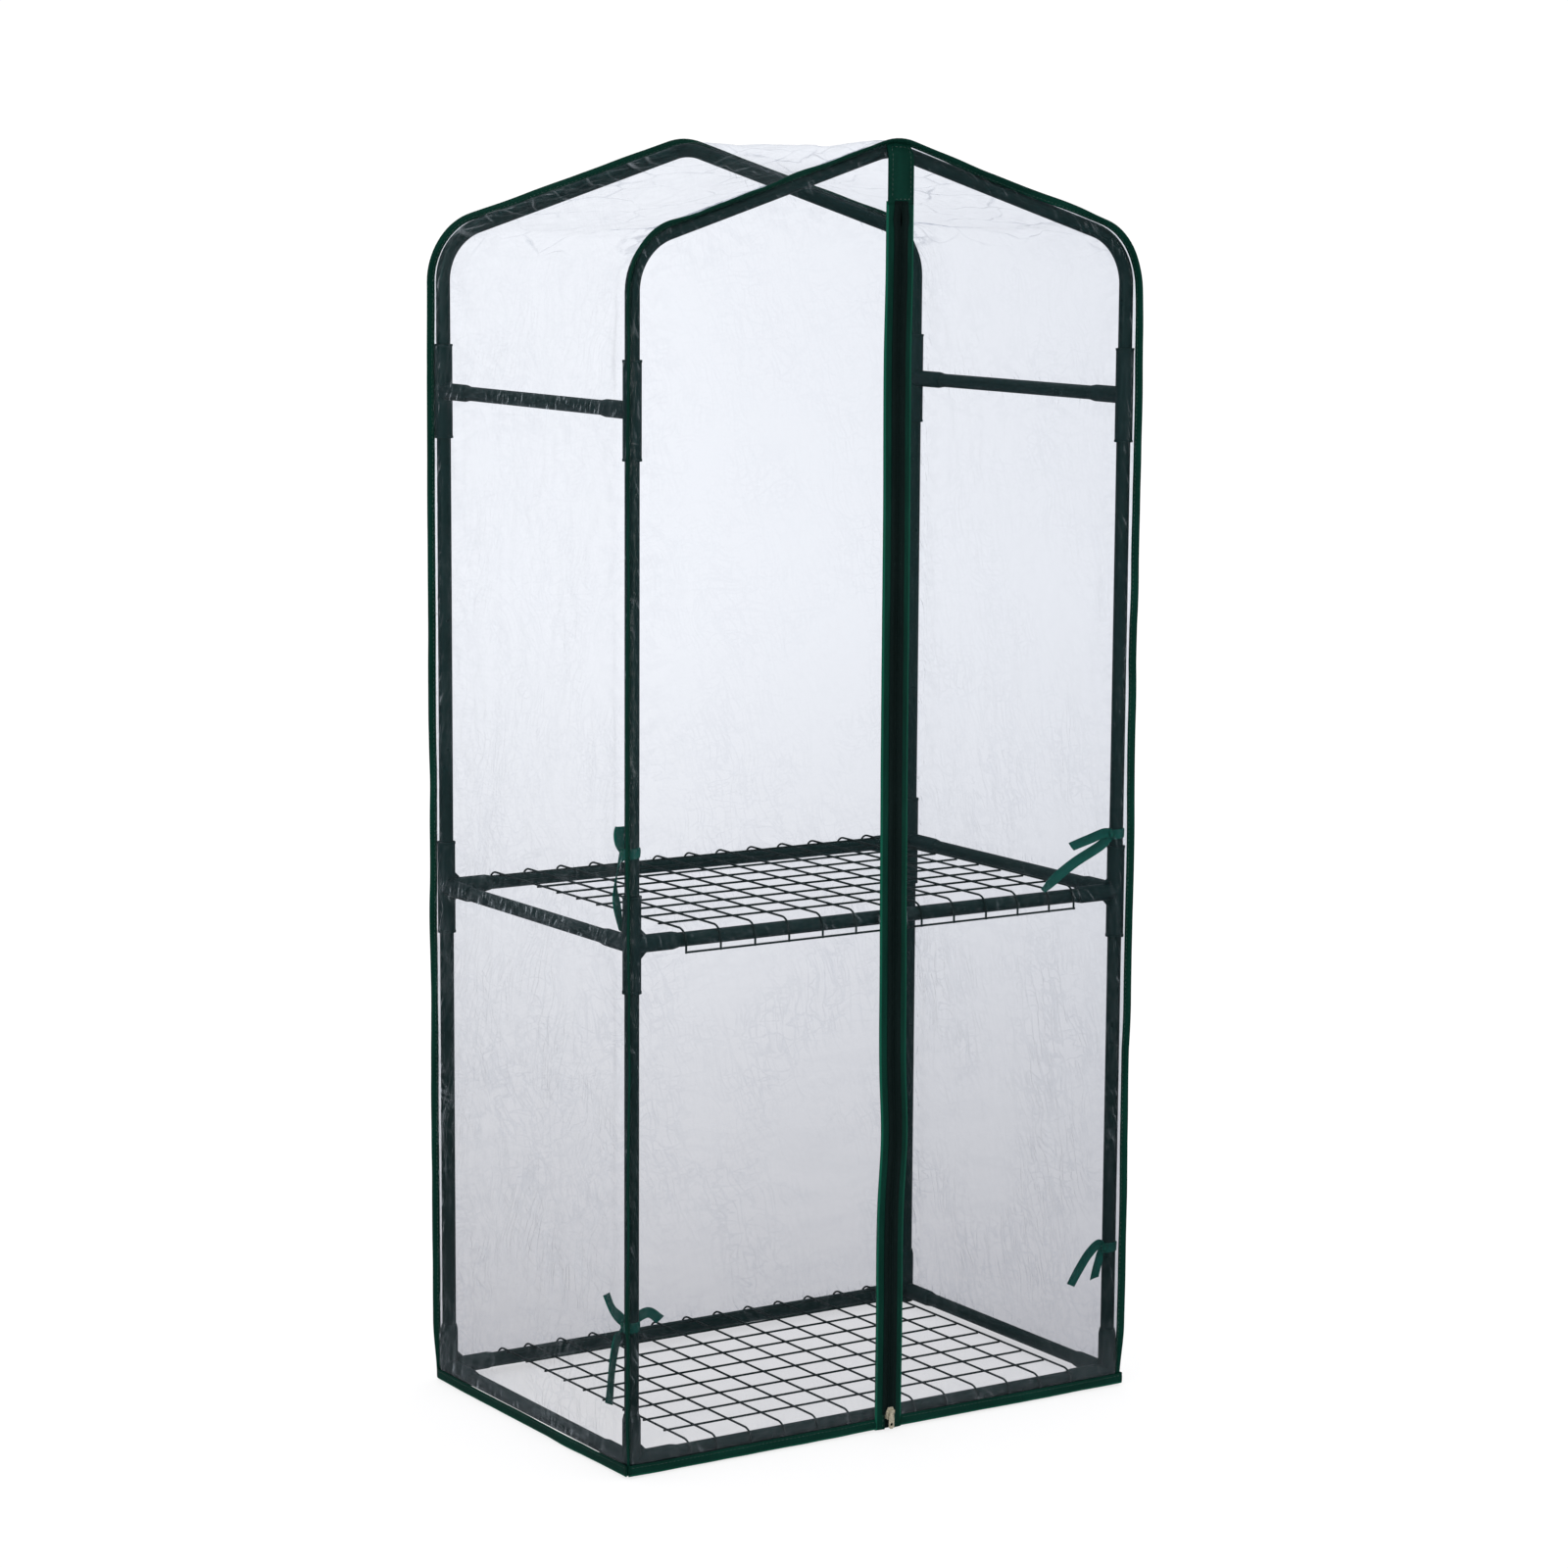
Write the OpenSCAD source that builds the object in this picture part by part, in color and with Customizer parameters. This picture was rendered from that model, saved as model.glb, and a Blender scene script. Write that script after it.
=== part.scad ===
// Mini greenhouse: a push-fit tube frame with two wire shelves under a clear zip-front cover.
// Millimetres. +Z is up, the zip front faces -Y, and the origin is the middle of the footprint on the floor.

/* [Frame] */
// Distance between the left and right post axes
frame_w = 648; // [560:4:760]
// Distance between the front and back post axes
frame_d = 418; // [360:2:520]
// Height of the lower shelf's rails above the floor
bottom_rail_z = 14.5; // [14.5:0.5:20]
// Height of the upper shelf's rails above the lower rails
shelf_rise = 571.5; // [480:0.5:700]
// Height of the upper side rails above the upper shelf's rails
upper_rise = 570; // [480:1:640]
// Height of the eave corner above the upper side rails
eave_rise = 171; // [150:1:240]
// Height of the apex corner above the eave corner
apex_rise = 103.5; // [70:0.5:180]
// Centreline radius of the hoop's bends at the eaves
eave_bend = 65; // [45:1:80]
// Centreline radius of the hoop's bend at the apex
apex_bend = 60; // [40:1:90]

/* [Tubes] */
// Outer diameter of every frame tube
tube_d = 16; // [15.6:0.1:16.4]
// Wall thickness of every frame tube
tube_wall = 0.6; // [0.4:0.1:1.2]

/* [Connectors] */
// Outer diameter of the upright sleeves
sleeve_d = 20.2; // [19.4:0.2:21]
// Length of the upright sleeves on the middle and upper connectors
sleeve_len = 106; // [90:1:130]
// Height of the upright sleeve on the foot connectors
foot_h = 66; // [55:1:90]
// Reach of the front and back sockets from the post axis
socket_x = 56; // [48:1:56]
// Reach of the side sockets from the post axis
socket_y = 60; // [50:1:70]
// Radial clearance between a tube and its socket
fit_gap = 0.1; // [0.05:0.05:0.2]

/* [Shelves] */
// Diameter of the shelf wire
wire_d = 2.4; // [2:0.1:2.6]
// Spacing of the wires that run front to back
mesh_pitch = 44; // [36:1:56]
// Spacing of the wires that run side to side
row_pitch = 44.5; // [36:0.5:56]
// Radius of the bend that hooks a wire over the rail
hook_bend = 15; // [14.8:0.1:15.2]

/* [Cover] */
// Distance from the post axes to the inner face of the film
cover_gap = 13; // [12.8:0.1:16]
// Thickness of the film
film_t = 0.4; // [0.2:0.1:0.8]
// Width of the folded binding that stands out along the front and back seams
binding_w = 8; // [7:0.5:14]
// Thickness of the folded bindings
binding_t = 2.4; // [1.6:0.1:2.6]
// Height of the binding along the bottom hem
hem_h = 13; // [10:0.5:18]

/* [Zip] */
// Sideways place of the zip from the middle of the front
zip_x = 5; // [-20:1:20]
// Width of the binding on each side of the zip
zip_binding_w = 11.5; // [8:0.5:14]
// Half width of the bare zip between its bindings
zip_half_w = 6.5; // [6.1:0.1:9]
// Height of the closed patch above the zip
patch_h = 68; // [50:1:90]
// Height of the slider's body
slider_h = 14; // [14:0.5:16]
// Length of the pull from its pivot
pull_len = 20; // [16:0.5:20.5]

/* [Ties] */
// Width of the tie ribbon
tie_w = 10; // [8:0.5:12]
// Thickness of the tie ribbon
tie_t = 0.8; // [0.6:0.1:1]
// Height of the left tie above the upper shelf's rails
tie_mid_left_rise = 100; // [90:1:140]
// Height of the right tie above the upper shelf's rails
tie_mid_right_rise = 68; // [64:1:140]
// Height of the lower ties above the lower shelf's rails
tie_low_rise = 146; // [140:1:200]

/* [Hidden] */

$fn = 48;

steel = [0.13, 0.19, 0.20];
plastic = [0.11, 0.16, 0.17];
wire_green = [0.10, 0.14, 0.14];
clear_film = [0.82, 0.87, 0.90, 0.35];
green_tape = [0.06, 0.25, 0.20];
zip_black = [0.05, 0.07, 0.07];
nickel = [0.62, 0.60, 0.54];

// Frame
post_x = frame_w / 2;
post_y = frame_d / 2;
mid_z = bottom_rail_z + shelf_rise;
upper_z = mid_z + upper_rise;
eave_z = upper_z + eave_rise;
tube_r = tube_d / 2;
bore_r = tube_r + fit_gap;
sleeve_r = sleeve_d / 2;
socket_x_r = sleeve_r - 0.3;
socket_y_r = sleeve_r - 0.5;
end_taper = 1.2;
stop_half = 12;
end_gap = 0.2;
tube_end = stop_half + end_gap;
gusset_t = 3;
lap = 1;
bend_shrink = 0.05;

// The hoop's path: upright, eave bend, slope, apex bend
slope = atan(apex_rise / post_x);
eave_turn = 90 - slope;
eave_start = eave_z - eave_bend * tan(eave_turn / 2);
slope_len = norm([post_x, apex_rise]) - eave_bend * tan(eave_turn / 2) - apex_bend * tan(slope);
slope_start = [post_x - eave_bend * (1 - cos(eave_turn)), 0, eave_start + eave_bend * sin(eave_turn)];
apex_centre_z = eave_z + apex_rise - apex_bend / cos(slope);

// Shelves
wire_r = wire_d / 2;
weld_depth = 0.3;
shelf_inset = 64.5;
shelf_w = frame_w - 2 * shelf_inset;
full_cells = floor(shelf_w / mesh_pitch);
first_row = 46;
last_row_margin = 14;
row_count = floor((frame_d - first_row - last_row_margin) / row_pitch) + 1;
hook_back = 5;
hook_drop_front = 14;
hook_drop_back = 6;
front_wire_drop = 12.6;
front_wire_set = 0.6;
wire_lap = 0.3;
rest_gap = 0.07;
hook_centre_z = -sqrt((hook_bend - tube_r - wire_r - rest_gap) ^ 2 - hook_back ^ 2);
mesh_z = hook_centre_z + hook_bend;
upper_shelf_shift = -2.5;
lower_shelf_shift = 5.5;

// Cover
film_out = cover_gap + film_t;
front_y = post_y + cover_gap;
front_mid_y = front_y + film_t / 2;
seam_gap = 0.5;
panel_inset = 2.5;
panel_edge = cover_gap - panel_inset;
hem_z = 0.5;
hem_top = hem_z + hem_h;
hem_t = 2;
film_foot = hem_top + 0.3;
apex_panel_z = apex_centre_z + apex_bend + panel_edge;

// Zip. Its tapes are sewn to the outside of the film, which keeps the slider clear of the shelves
zip_y = -front_y - film_t - 2;
zip_binding_y = -front_mid_y - 1.2;
strip_gap = 0.2;
band_half = zip_half_w + zip_binding_w;
patch_z = apex_panel_z - patch_h;
coil_r = 1.35;
coil_x = coil_r + 0.1;
tape_t = 0.8;
slider_z = 12;
slider_w = 10;
plate_t = 1.2;
plate_gap = coil_r + 0.35;
lip = 1;
pin_r = 0.8;
pull_bore_r = 0.88;
eye_r = 1.7;
pivot_y = zip_y - plate_gap - plate_t - 2.1;
pivot_z = slider_z + slider_h - 4.5;
ear_gap = 2.6;
ear_t = 1;
coil_start = slider_z + 5.5;

// Ties
band_r = tube_r + 0.25;
knot = [7, 6, 9];
tail_t = 0.5;
film_side = cover_gap - 0.4;

// ---------- placing ----------

// Puts a front-left corner part, whose inside faces +X and +Y, on the corner given by two signs
module at_corner(sx, sy) {
    translate([sx * post_x, sy * post_y, 0])
        mirror([sx > 0 ? 1 : 0, 0, 0])
            mirror([0, sy > 0 ? 1 : 0, 0])
                children();
}

// Lays a part that is drawn along +Z down along +X or +Y
module along_x() {
    rotate([0, 90, 0]) children();
}

module along_y() {
    rotate([-90, 0, 0]) children();
}

// Sweeps a section along the hoop. Section x points out of the hoop, and section y is the greenhouse's y.
// The first child is the section of the straight lengths. The second is that of the bends, and is a
// touch smaller, so that the ends of the bends sit inside the straight lengths that lap over them
module along_hoop(z_start) {
    for (side = [0, 1])
        mirror([side, 0, 0]) {
            translate([post_x, 0, z_start])
                linear_extrude(eave_start - z_start + lap) children(0);
            translate([post_x - eave_bend, 0, eave_start])
                rotate([-90, 0, 0])
                    rotate([0, 0, -eave_turn])
                        rotate_extrude(angle = eave_turn)
                            translate([eave_bend, 0]) children(1);
            translate(slope_start)
                rotate([0, -eave_turn, 0])
                    translate([0, 0, -lap]) linear_extrude(slope_len + 2 * lap) children(0);
        }
    translate([0, 0, apex_centre_z])
        rotate([-90, 0, 0])
            rotate([0, 0, -90 - slope])
                rotate_extrude(angle = 2 * slope)
                    translate([apex_bend, 0]) children(1);
}

// ---------- frame ----------

module tube_section(shrink = 0) {
    difference() {
        circle(r = tube_r - shrink);
        circle(r = tube_r - tube_wall + shrink);
    }
}

module tube(length) {
    linear_extrude(length) tube_section();
}

// Outside of a socket that runs along +Z and tapers at its mouth
module socket(reach, r, taper_len) {
    cylinder(r = r, h = reach - taper_len);
    translate([0, 0, reach - taper_len])
        cylinder(r1 = r, r2 = r - end_taper, h = taper_len);
}

// Triangular web between the sleeve and a side-to-side socket, above it (up = 1) or below it (up = -1)
module gusset(leg, up) {
    start = sleeve_r - 1;
    edge = socket_x_r - 1;
    rotate([90, 0, 0])
        linear_extrude(gusset_t, center = true)
            polygon([[start, up * edge], [start + 1 + leg, up * edge], [start, up * (edge + 1 + leg)]]);
}

// Bores for the tubes that enter sideways
module side_bores(has_x) {
    if (has_x)
        along_x() translate([0, 0, stop_half]) cylinder(r = bore_r, h = socket_x);
    along_y() translate([0, 0, stop_half]) cylinder(r = bore_r, h = socket_y);
}

// Three-way corner on the floor
module foot_connector() {
    mouth = 6;
    difference() {
        union() {
            socket(foot_h, sleeve_r, mouth);
            translate([0, 0, bottom_rail_z]) {
                along_x() socket(socket_x, socket_x_r, mouth);
                along_y() socket(socket_y, socket_y_r, 8);
                gusset(9, 1);
            }
        }
        translate([0, 0, bottom_rail_z]) side_bores(true);
        translate([0, 0, bottom_rail_z + stop_half]) cylinder(r = bore_r, h = foot_h);
    }
}

// Upright sleeve with a small bead at each end
module sleeve() {
    bead_h = 2.5;
    cylinder(r = sleeve_r, h = sleeve_len, center = true);
    for (up = [-1, 1])
        translate([0, 0, up * (sleeve_len - bead_h) / 2])
            cylinder(r = sleeve_r + 0.5, h = bead_h, center = true);
}

// Bores for the posts above and below, with a solid stop left between them
module sleeve_bores() {
    for (up = [0, 1])
        mirror([0, 0, up])
            translate([0, 0, stop_half]) cylinder(r = bore_r, h = sleeve_len);
}

// Four-way connector at the upper shelf
module mid_connector() {
    difference() {
        union() {
            sleeve();
            along_x() socket(socket_x, socket_x_r, 6);
            along_y() socket(socket_y, socket_y_r, 8);
            gusset(8, 1);
            gusset(8, -1);
        }
        side_bores(true);
        sleeve_bores();
    }
}

// Three-way connector at the upper side rail
module top_connector() {
    difference() {
        union() {
            sleeve();
            along_y() socket(socket_y, socket_y_r, 8);
        }
        side_bores(false);
        sleeve_bores();
    }
}

module lower_post() {
    foot = bottom_rail_z + tube_end;
    translate([0, 0, foot]) tube(mid_z - tube_end - foot);
}

module upper_post() {
    translate([0, 0, mid_z + tube_end]) tube(upper_rise - 2 * tube_end);
}

module hoop(sy) {
    translate([0, sy * post_y, 0])
        along_hoop(upper_z + tube_end) {
            tube_section();
            tube_section(bend_shrink);
        }
}

module rail_across(sy, z) {
    length = frame_w - 2 * tube_end;
    translate([-length / 2, sy * post_y, z]) along_x() tube(length);
}

module rail_deep(sx, z) {
    length = frame_d - 2 * tube_end;
    translate([sx * post_x, -length / 2, z]) along_y() tube(length);
}

// ---------- shelves ----------

// The end of a front-to-back wire: a bend over a rail at the origin, and a drop in front of it
module hook(drop) {
    translate([0, hook_back - hook_bend, -drop])
        cylinder(r = wire_r, h = drop + hook_centre_z + wire_lap);
    translate([0, hook_back, hook_centre_z])
        rotate([0, 90, 0])
            rotate([0, 0, 180])
                rotate_extrude(angle = 90)
                    translate([hook_bend, 0]) circle(r = wire_r - bend_shrink);
}

module long_wire() {
    reach = post_y - hook_back + wire_lap;
    translate([0, -post_y, 0]) hook(hook_drop_front);
    mirror([0, 1, 0]) translate([0, -post_y, 0]) hook(hook_drop_back);
    translate([0, -reach, mesh_z]) along_y() cylinder(r = wire_r, h = 2 * reach);
}

// Side-to-side wire with its ends just past the outer front-to-back wires
module cross_wire(y, z) {
    translate([-shelf_w / 2 - wire_r, y, z])
        along_x() cylinder(r = wire_r, h = shelf_w + wire_d);
}

// One shelf about its rails' height. The narrow cell is at the +X end
module shelf() {
    for (cell = [0 : full_cells])
        translate([-shelf_w / 2 + cell * mesh_pitch, 0, 0]) long_wire();
    translate([shelf_w / 2, 0, 0]) long_wire();
    for (row = [0 : row_count - 1])
        cross_wire(-post_y + first_row + row * row_pitch, mesh_z - wire_d + weld_depth);
    cross_wire(-post_y + hook_back - hook_bend - front_wire_set, -front_wire_drop);
}

// ---------- cover ----------

// Outline of the gable end at a distance outside the hoop's centreline, from height z_start up
module gable_outline(out, z_start) {
    steps = 12;
    eave = [for (i = [0 : steps]) let (a = eave_turn * i / steps)
        [post_x - eave_bend + (eave_bend + out) * cos(a), eave_start + (eave_bend + out) * sin(a)]];
    apex = [for (i = [0 : steps]) let (a = eave_turn + 2 * slope * i / steps)
        [(apex_bend + out) * cos(a), apex_centre_z + (apex_bend + out) * sin(a)]];
    far_eave = [for (i = [steps : -1 : 0]) [-eave[i][0], eave[i][1]]];
    polygon(concat([[post_x + out, z_start]], eave, apex, far_eave, [[-post_x - out, z_start]]));
}

// Stands a flat drawing of x and height up across the greenhouse, centred on the plane y
module stand_up(y, thickness) {
    translate([0, y, 0])
        rotate([90, 0, 0])
            linear_extrude(thickness, center = true) children();
}

// The part of the front panel between two x values and above a height
module front_panel(x0, x1, z0, thickness) {
    stand_up(-front_mid_y, thickness)
        intersection() {
            gable_outline(panel_edge, film_foot);
            translate([x0, z0]) square([x1 - x0, apex_panel_z]);
        }
}

// A straight strip between two x values and two heights, centred on the plane y
module front_strip(y, x0, x1, z0, z1, thickness) {
    stand_up(y, thickness)
        translate([x0, z0]) square([x1 - x0, z1 - z0]);
}

module wrap_film() {
    stand_up(0, 2 * (front_y - seam_gap))
        difference() {
            gable_outline(film_out, film_foot);
            gable_outline(cover_gap, film_foot);
        }
}

// Section of a binding that stands out of the corner where the wrap meets the front or the back
module seam_section(sy, shrink = 0) {
    translate([film_out + 0.2, sy * (front_y + film_t)])
        rotate(sy * 45)
            translate([shrink, -binding_t / 2 + shrink])
                square([binding_w - 2 * shrink, binding_t - 2 * shrink]);
}

module seam_binding(sy) {
    along_hoop(film_foot) {
        seam_section(sy);
        seam_section(sy, bend_shrink);
    }
}

// Runs round the left, back and right sides
module wrap_hem() {
    side_x = post_x + cover_gap + film_t / 2;
    front_end = -front_y + 2 * seam_gap;
    back_y = front_mid_y;
    translate([0, 0, hem_z])
        linear_extrude(hem_h)
            difference() {
                translate([-side_x - hem_t / 2, front_end])
                    square([2 * side_x + hem_t, back_y + hem_t / 2 - front_end]);
                translate([-side_x + hem_t / 2, front_end - 1])
                    square([2 * side_x - hem_t, back_y - hem_t / 2 - front_end + 1]);
            }
}

// A flap runs from its hinge side at the corner to the zip. sx is -1 for left and 1 for right
function flap_outer(sx) = sx * (post_x + panel_edge);
function flap_inner(sx) = zip_x + sx * (band_half + strip_gap);

module flap_film(sx) {
    x0 = min(flap_outer(sx), flap_inner(sx));
    x1 = max(flap_outer(sx), flap_inner(sx));
    front_panel(x0, x1, film_foot, film_t);
}

module flap_hem(sx) {
    x0 = min(flap_outer(sx), flap_inner(sx));
    x1 = max(flap_outer(sx), flap_inner(sx));
    front_strip(-front_mid_y, x0, x1, hem_z, hem_top, hem_t);
}

// ---------- zip ----------

module zip_side(sx) {
    translate([zip_x, 0, 0]) mirror([sx > 0 ? 0 : 1, 0, 0]) children();
}

module zip_binding(sx) {
    zip_side(sx)
        front_strip(zip_binding_y, zip_half_w, band_half, hem_z, patch_z - seam_gap, hem_t);
}

// Woven tape with half of the zip's coil along its edge
module zip_tape(sx) {
    top = patch_z - seam_gap;
    zip_side(sx) {
        front_strip(zip_y, coil_x, zip_half_w - strip_gap, coil_start, top, tape_t);
        translate([coil_x, zip_y, coil_start])
            cylinder(r = coil_r, h = top - coil_start);
    }
}

module top_patch() {
    front_panel(zip_x - band_half + strip_gap, zip_x + band_half - strip_gap, patch_z, hem_t);
}

module slider_outline() {
    w = slider_w / 2;
    polygon([[-w + 1, 0], [w - 1, 0], [w, 2], [w, slider_h - 4], [w - 2, slider_h], [-w + 2, slider_h],
        [-w, slider_h - 4], [-w, 2]]);
}

module slider() {
    ear_reach = 3.3;
    divider_z = 2.6;
    translate([zip_x, zip_y, slider_z]) {
        for (face = [-1, 1]) {
            translate([0, face * (plate_gap + plate_t / 2), 0])
                rotate([90, 0, 0]) linear_extrude(plate_t, center = true) slider_outline();
            for (side = [-1, 1])
                translate([side * (slider_w - lip) / 2, face * (plate_gap + 0.2 - lip / 2), slider_h / 2 - 1])
                    cube([lip, lip + 0.4, slider_h - 6], center = true);
        }
        translate([0, 0, divider_z])
            along_y() cylinder(r = 1.3, h = 2 * plate_gap + 1, center = true);
        for (side = [-1, 1])
            translate([side * (ear_gap + ear_t / 2), -plate_gap - plate_t + 0.3 - ear_reach / 2, pivot_z - slider_z])
                cube([ear_t, ear_reach + 0.6, 3], center = true);
    }
    translate([zip_x, pivot_y, pivot_z])
        along_x() cylinder(r = pin_r, h = 2 * ear_gap + 1, center = true);
}

module pull() {
    tab_w = 7;
    tab_t = 1;
    tab_hole_r = 1.8;
    translate([zip_x, pivot_y, pivot_z])
        difference() {
            union() {
                along_x() cylinder(r = eye_r, h = 2 * ear_gap - 0.6, center = true);
                rotate([90, 0, 0])
                    linear_extrude(tab_t, center = true)
                        difference() {
                            polygon([[-2, 0], [-2, -4], [-tab_w / 2, -7], [-tab_w / 2, 2 - pull_len],
                                [2 - tab_w / 2, -pull_len], [tab_w / 2 - 2, -pull_len],
                                [tab_w / 2, 2 - pull_len], [tab_w / 2, -7], [2, -4], [2, 0]]);
                            translate([0, 5 - pull_len]) circle(r = tab_hole_r);
                        }
            }
            along_x() cylinder(r = pull_bore_r, h = 2 * ear_gap + 1, center = true);
        }
}

// ---------- ties ----------

// Straight length of ribbon between two points, with the same upright or flat end at both
module ribbon(from, to, end) {
    hull()
        for (place = [from, to])
            translate(place) cube(end, center = true);
}

// Band round a front post, a knot beside it and ribbon tails through points given about the post
module tie(sx, z, knot_at, tails, end) {
    translate([sx * post_x, -post_y, z]) {
        difference() {
            cylinder(r = band_r + tie_t, h = tie_w, center = true);
            cylinder(r = band_r, h = tie_w + 1, center = true);
        }
        translate(knot_at) cube(knot, center = true);
        for (tail = tails)
            for (i = [1 : len(tail) - 1])
                ribbon(tail[i - 1], tail[i], end);
    }
}

// Knotted behind the post, with tails that lie along the side film
module left_tie(z, tails) {
    tie(-1, z, [0, band_r + knot[1] / 2 + 0.2, 0], tails, [tail_t, tie_w, 1]);
}

// Knotted inside the post, with tails that lie along the front film
module right_tie(z, tails) {
    tie(1, z, [-band_r - knot[0] / 2 - 0.2, 0, 0], tails, [1, tail_t, tie_w]);
}

// ---------- nodes ----------

module foot_connector_front_left() { color(plastic) at_corner(-1, -1) foot_connector(); }
module foot_connector_front_right() { color(plastic) at_corner(1, -1) foot_connector(); }
module foot_connector_back_left() { color(plastic) at_corner(-1, 1) foot_connector(); }
module foot_connector_back_right() { color(plastic) at_corner(1, 1) foot_connector(); }

module mid_connector_front_left() { color(plastic) at_corner(-1, -1) translate([0, 0, mid_z]) mid_connector(); }
module mid_connector_front_right() { color(plastic) at_corner(1, -1) translate([0, 0, mid_z]) mid_connector(); }
module mid_connector_back_left() { color(plastic) at_corner(-1, 1) translate([0, 0, mid_z]) mid_connector(); }
module mid_connector_back_right() { color(plastic) at_corner(1, 1) translate([0, 0, mid_z]) mid_connector(); }

module top_connector_front_left() { color(plastic) at_corner(-1, -1) translate([0, 0, upper_z]) top_connector(); }
module top_connector_front_right() { color(plastic) at_corner(1, -1) translate([0, 0, upper_z]) top_connector(); }
module top_connector_back_left() { color(plastic) at_corner(-1, 1) translate([0, 0, upper_z]) top_connector(); }
module top_connector_back_right() { color(plastic) at_corner(1, 1) translate([0, 0, upper_z]) top_connector(); }

module lower_post_front_left() { color(steel) at_corner(-1, -1) lower_post(); }
module lower_post_front_right() { color(steel) at_corner(1, -1) lower_post(); }
module lower_post_back_left() { color(steel) at_corner(-1, 1) lower_post(); }
module lower_post_back_right() { color(steel) at_corner(1, 1) lower_post(); }

module upper_post_front_left() { color(steel) at_corner(-1, -1) upper_post(); }
module upper_post_front_right() { color(steel) at_corner(1, -1) upper_post(); }
module upper_post_back_left() { color(steel) at_corner(-1, 1) upper_post(); }
module upper_post_back_right() { color(steel) at_corner(1, 1) upper_post(); }

module front_hoop() { color(steel) hoop(-1); }
module back_hoop() { color(steel) hoop(1); }

module bottom_rail_front() { color(steel) rail_across(-1, bottom_rail_z); }
module bottom_rail_back() { color(steel) rail_across(1, bottom_rail_z); }
module bottom_rail_left() { color(steel) rail_deep(-1, bottom_rail_z); }
module bottom_rail_right() { color(steel) rail_deep(1, bottom_rail_z); }
module mid_rail_front() { color(steel) rail_across(-1, mid_z); }
module mid_rail_back() { color(steel) rail_across(1, mid_z); }
module mid_rail_left() { color(steel) rail_deep(-1, mid_z); }
module mid_rail_right() { color(steel) rail_deep(1, mid_z); }
module upper_rail_left() { color(steel) rail_deep(-1, upper_z); }
module upper_rail_right() { color(steel) rail_deep(1, upper_z); }

module upper_shelf() {
    color(wire_green) translate([upper_shelf_shift, 0, mid_z]) shelf();
}

module lower_shelf() {
    color(wire_green) translate([lower_shelf_shift, 0, bottom_rail_z]) mirror([1, 0, 0]) shelf();
}

module cover_wrap_film() { color(clear_film) wrap_film(); }

module cover_back_film() {
    color(clear_film) stand_up(front_mid_y, film_t) gable_outline(panel_edge, film_foot);
}

module front_seam_binding() { color(green_tape) seam_binding(-1); }
module back_seam_binding() { color(green_tape) seam_binding(1); }
module hem_binding() { color(green_tape) wrap_hem(); }

module left_flap_film() { color(clear_film) flap_film(-1); }
module left_flap_hem() { color(green_tape) flap_hem(-1); }
module left_zip_binding() { color(green_tape) zip_binding(-1); }
module left_zip_tape() { color(zip_black) zip_tape(-1); }
module right_flap_film() { color(clear_film) flap_film(1); }
module right_flap_hem() { color(green_tape) flap_hem(1); }
module right_zip_binding() { color(green_tape) zip_binding(1); }
module right_zip_tape() { color(zip_black) zip_tape(1); }

module zip_top_patch() { color(green_tape) top_patch(); }
module zip_slider() { color(nickel) slider(); }
module zip_pull() { color(nickel) pull(); }

// One tail stands up beside the post and one hangs past the connector
module tie_mid_left() {
    color(green_tape)
        left_tie(mid_z + tie_mid_left_rise, [
            [[0, 14, 2], [-4, 13, 24]],
            [[-1, 14, -2], [-film_side, 18, -30], [-film_side, 24, -100]]]);
}

// A short tail and a long one that ends in front of the shelf's corner
module tie_mid_right() {
    color(green_tape)
        right_tie(mid_z + tie_mid_right_rise, [
            [[-12, -2, 1], [-48, -11, -10]],
            [[-12, -2, -1], [-46, -film_side, -22], [-84, -film_side, -50]]]);
}

// One tail sticks up behind the post and one hangs down
module tie_low_left() {
    color(green_tape)
        left_tie(bottom_rail_z + tie_low_rise, [
            [[0, 14, 2], [-6, 34, 34]],
            [[-1, 14, -2], [-film_side, 22, -40], [-film_side, 26, -78]]]);
}

// One tail bends over and down, and a short one hangs beside it
module tie_low_right() {
    color(green_tape)
        right_tie(bottom_rail_z + tie_low_rise, [
            [[-12, -1, 1], [-26, -8, 8], [-44, -11, -34]],
            [[-12, -1, -1], [-18, -4, -30]]]);
}

foot_connector_front_left();
foot_connector_front_right();
foot_connector_back_left();
foot_connector_back_right();
mid_connector_front_left();
mid_connector_front_right();
mid_connector_back_left();
mid_connector_back_right();
top_connector_front_left();
top_connector_front_right();
top_connector_back_left();
top_connector_back_right();
lower_post_front_left();
lower_post_front_right();
lower_post_back_left();
lower_post_back_right();
upper_post_front_left();
upper_post_front_right();
upper_post_back_left();
upper_post_back_right();
front_hoop();
back_hoop();
bottom_rail_front();
bottom_rail_back();
bottom_rail_left();
bottom_rail_right();
mid_rail_front();
mid_rail_back();
mid_rail_left();
mid_rail_right();
upper_rail_left();
upper_rail_right();
upper_shelf();
lower_shelf();
cover_wrap_film();
cover_back_film();
front_seam_binding();
back_seam_binding();
hem_binding();
left_flap_film();
left_flap_hem();
left_zip_binding();
left_zip_tape();
right_flap_film();
right_flap_hem();
right_zip_binding();
right_zip_tape();
zip_top_patch();
zip_slider();
zip_pull();
tie_mid_left();
tie_mid_right();
tie_low_left();
tie_low_right();
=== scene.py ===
"""Looks of the mini greenhouse: film, bindings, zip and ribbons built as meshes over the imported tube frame.

Metres, in the frame's own axes: +Z up, +X to the right along the wide front, the zip front faces -Y.
"""
import math

import bpy
import numpy as np
from mathutils import Matrix, Vector


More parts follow.
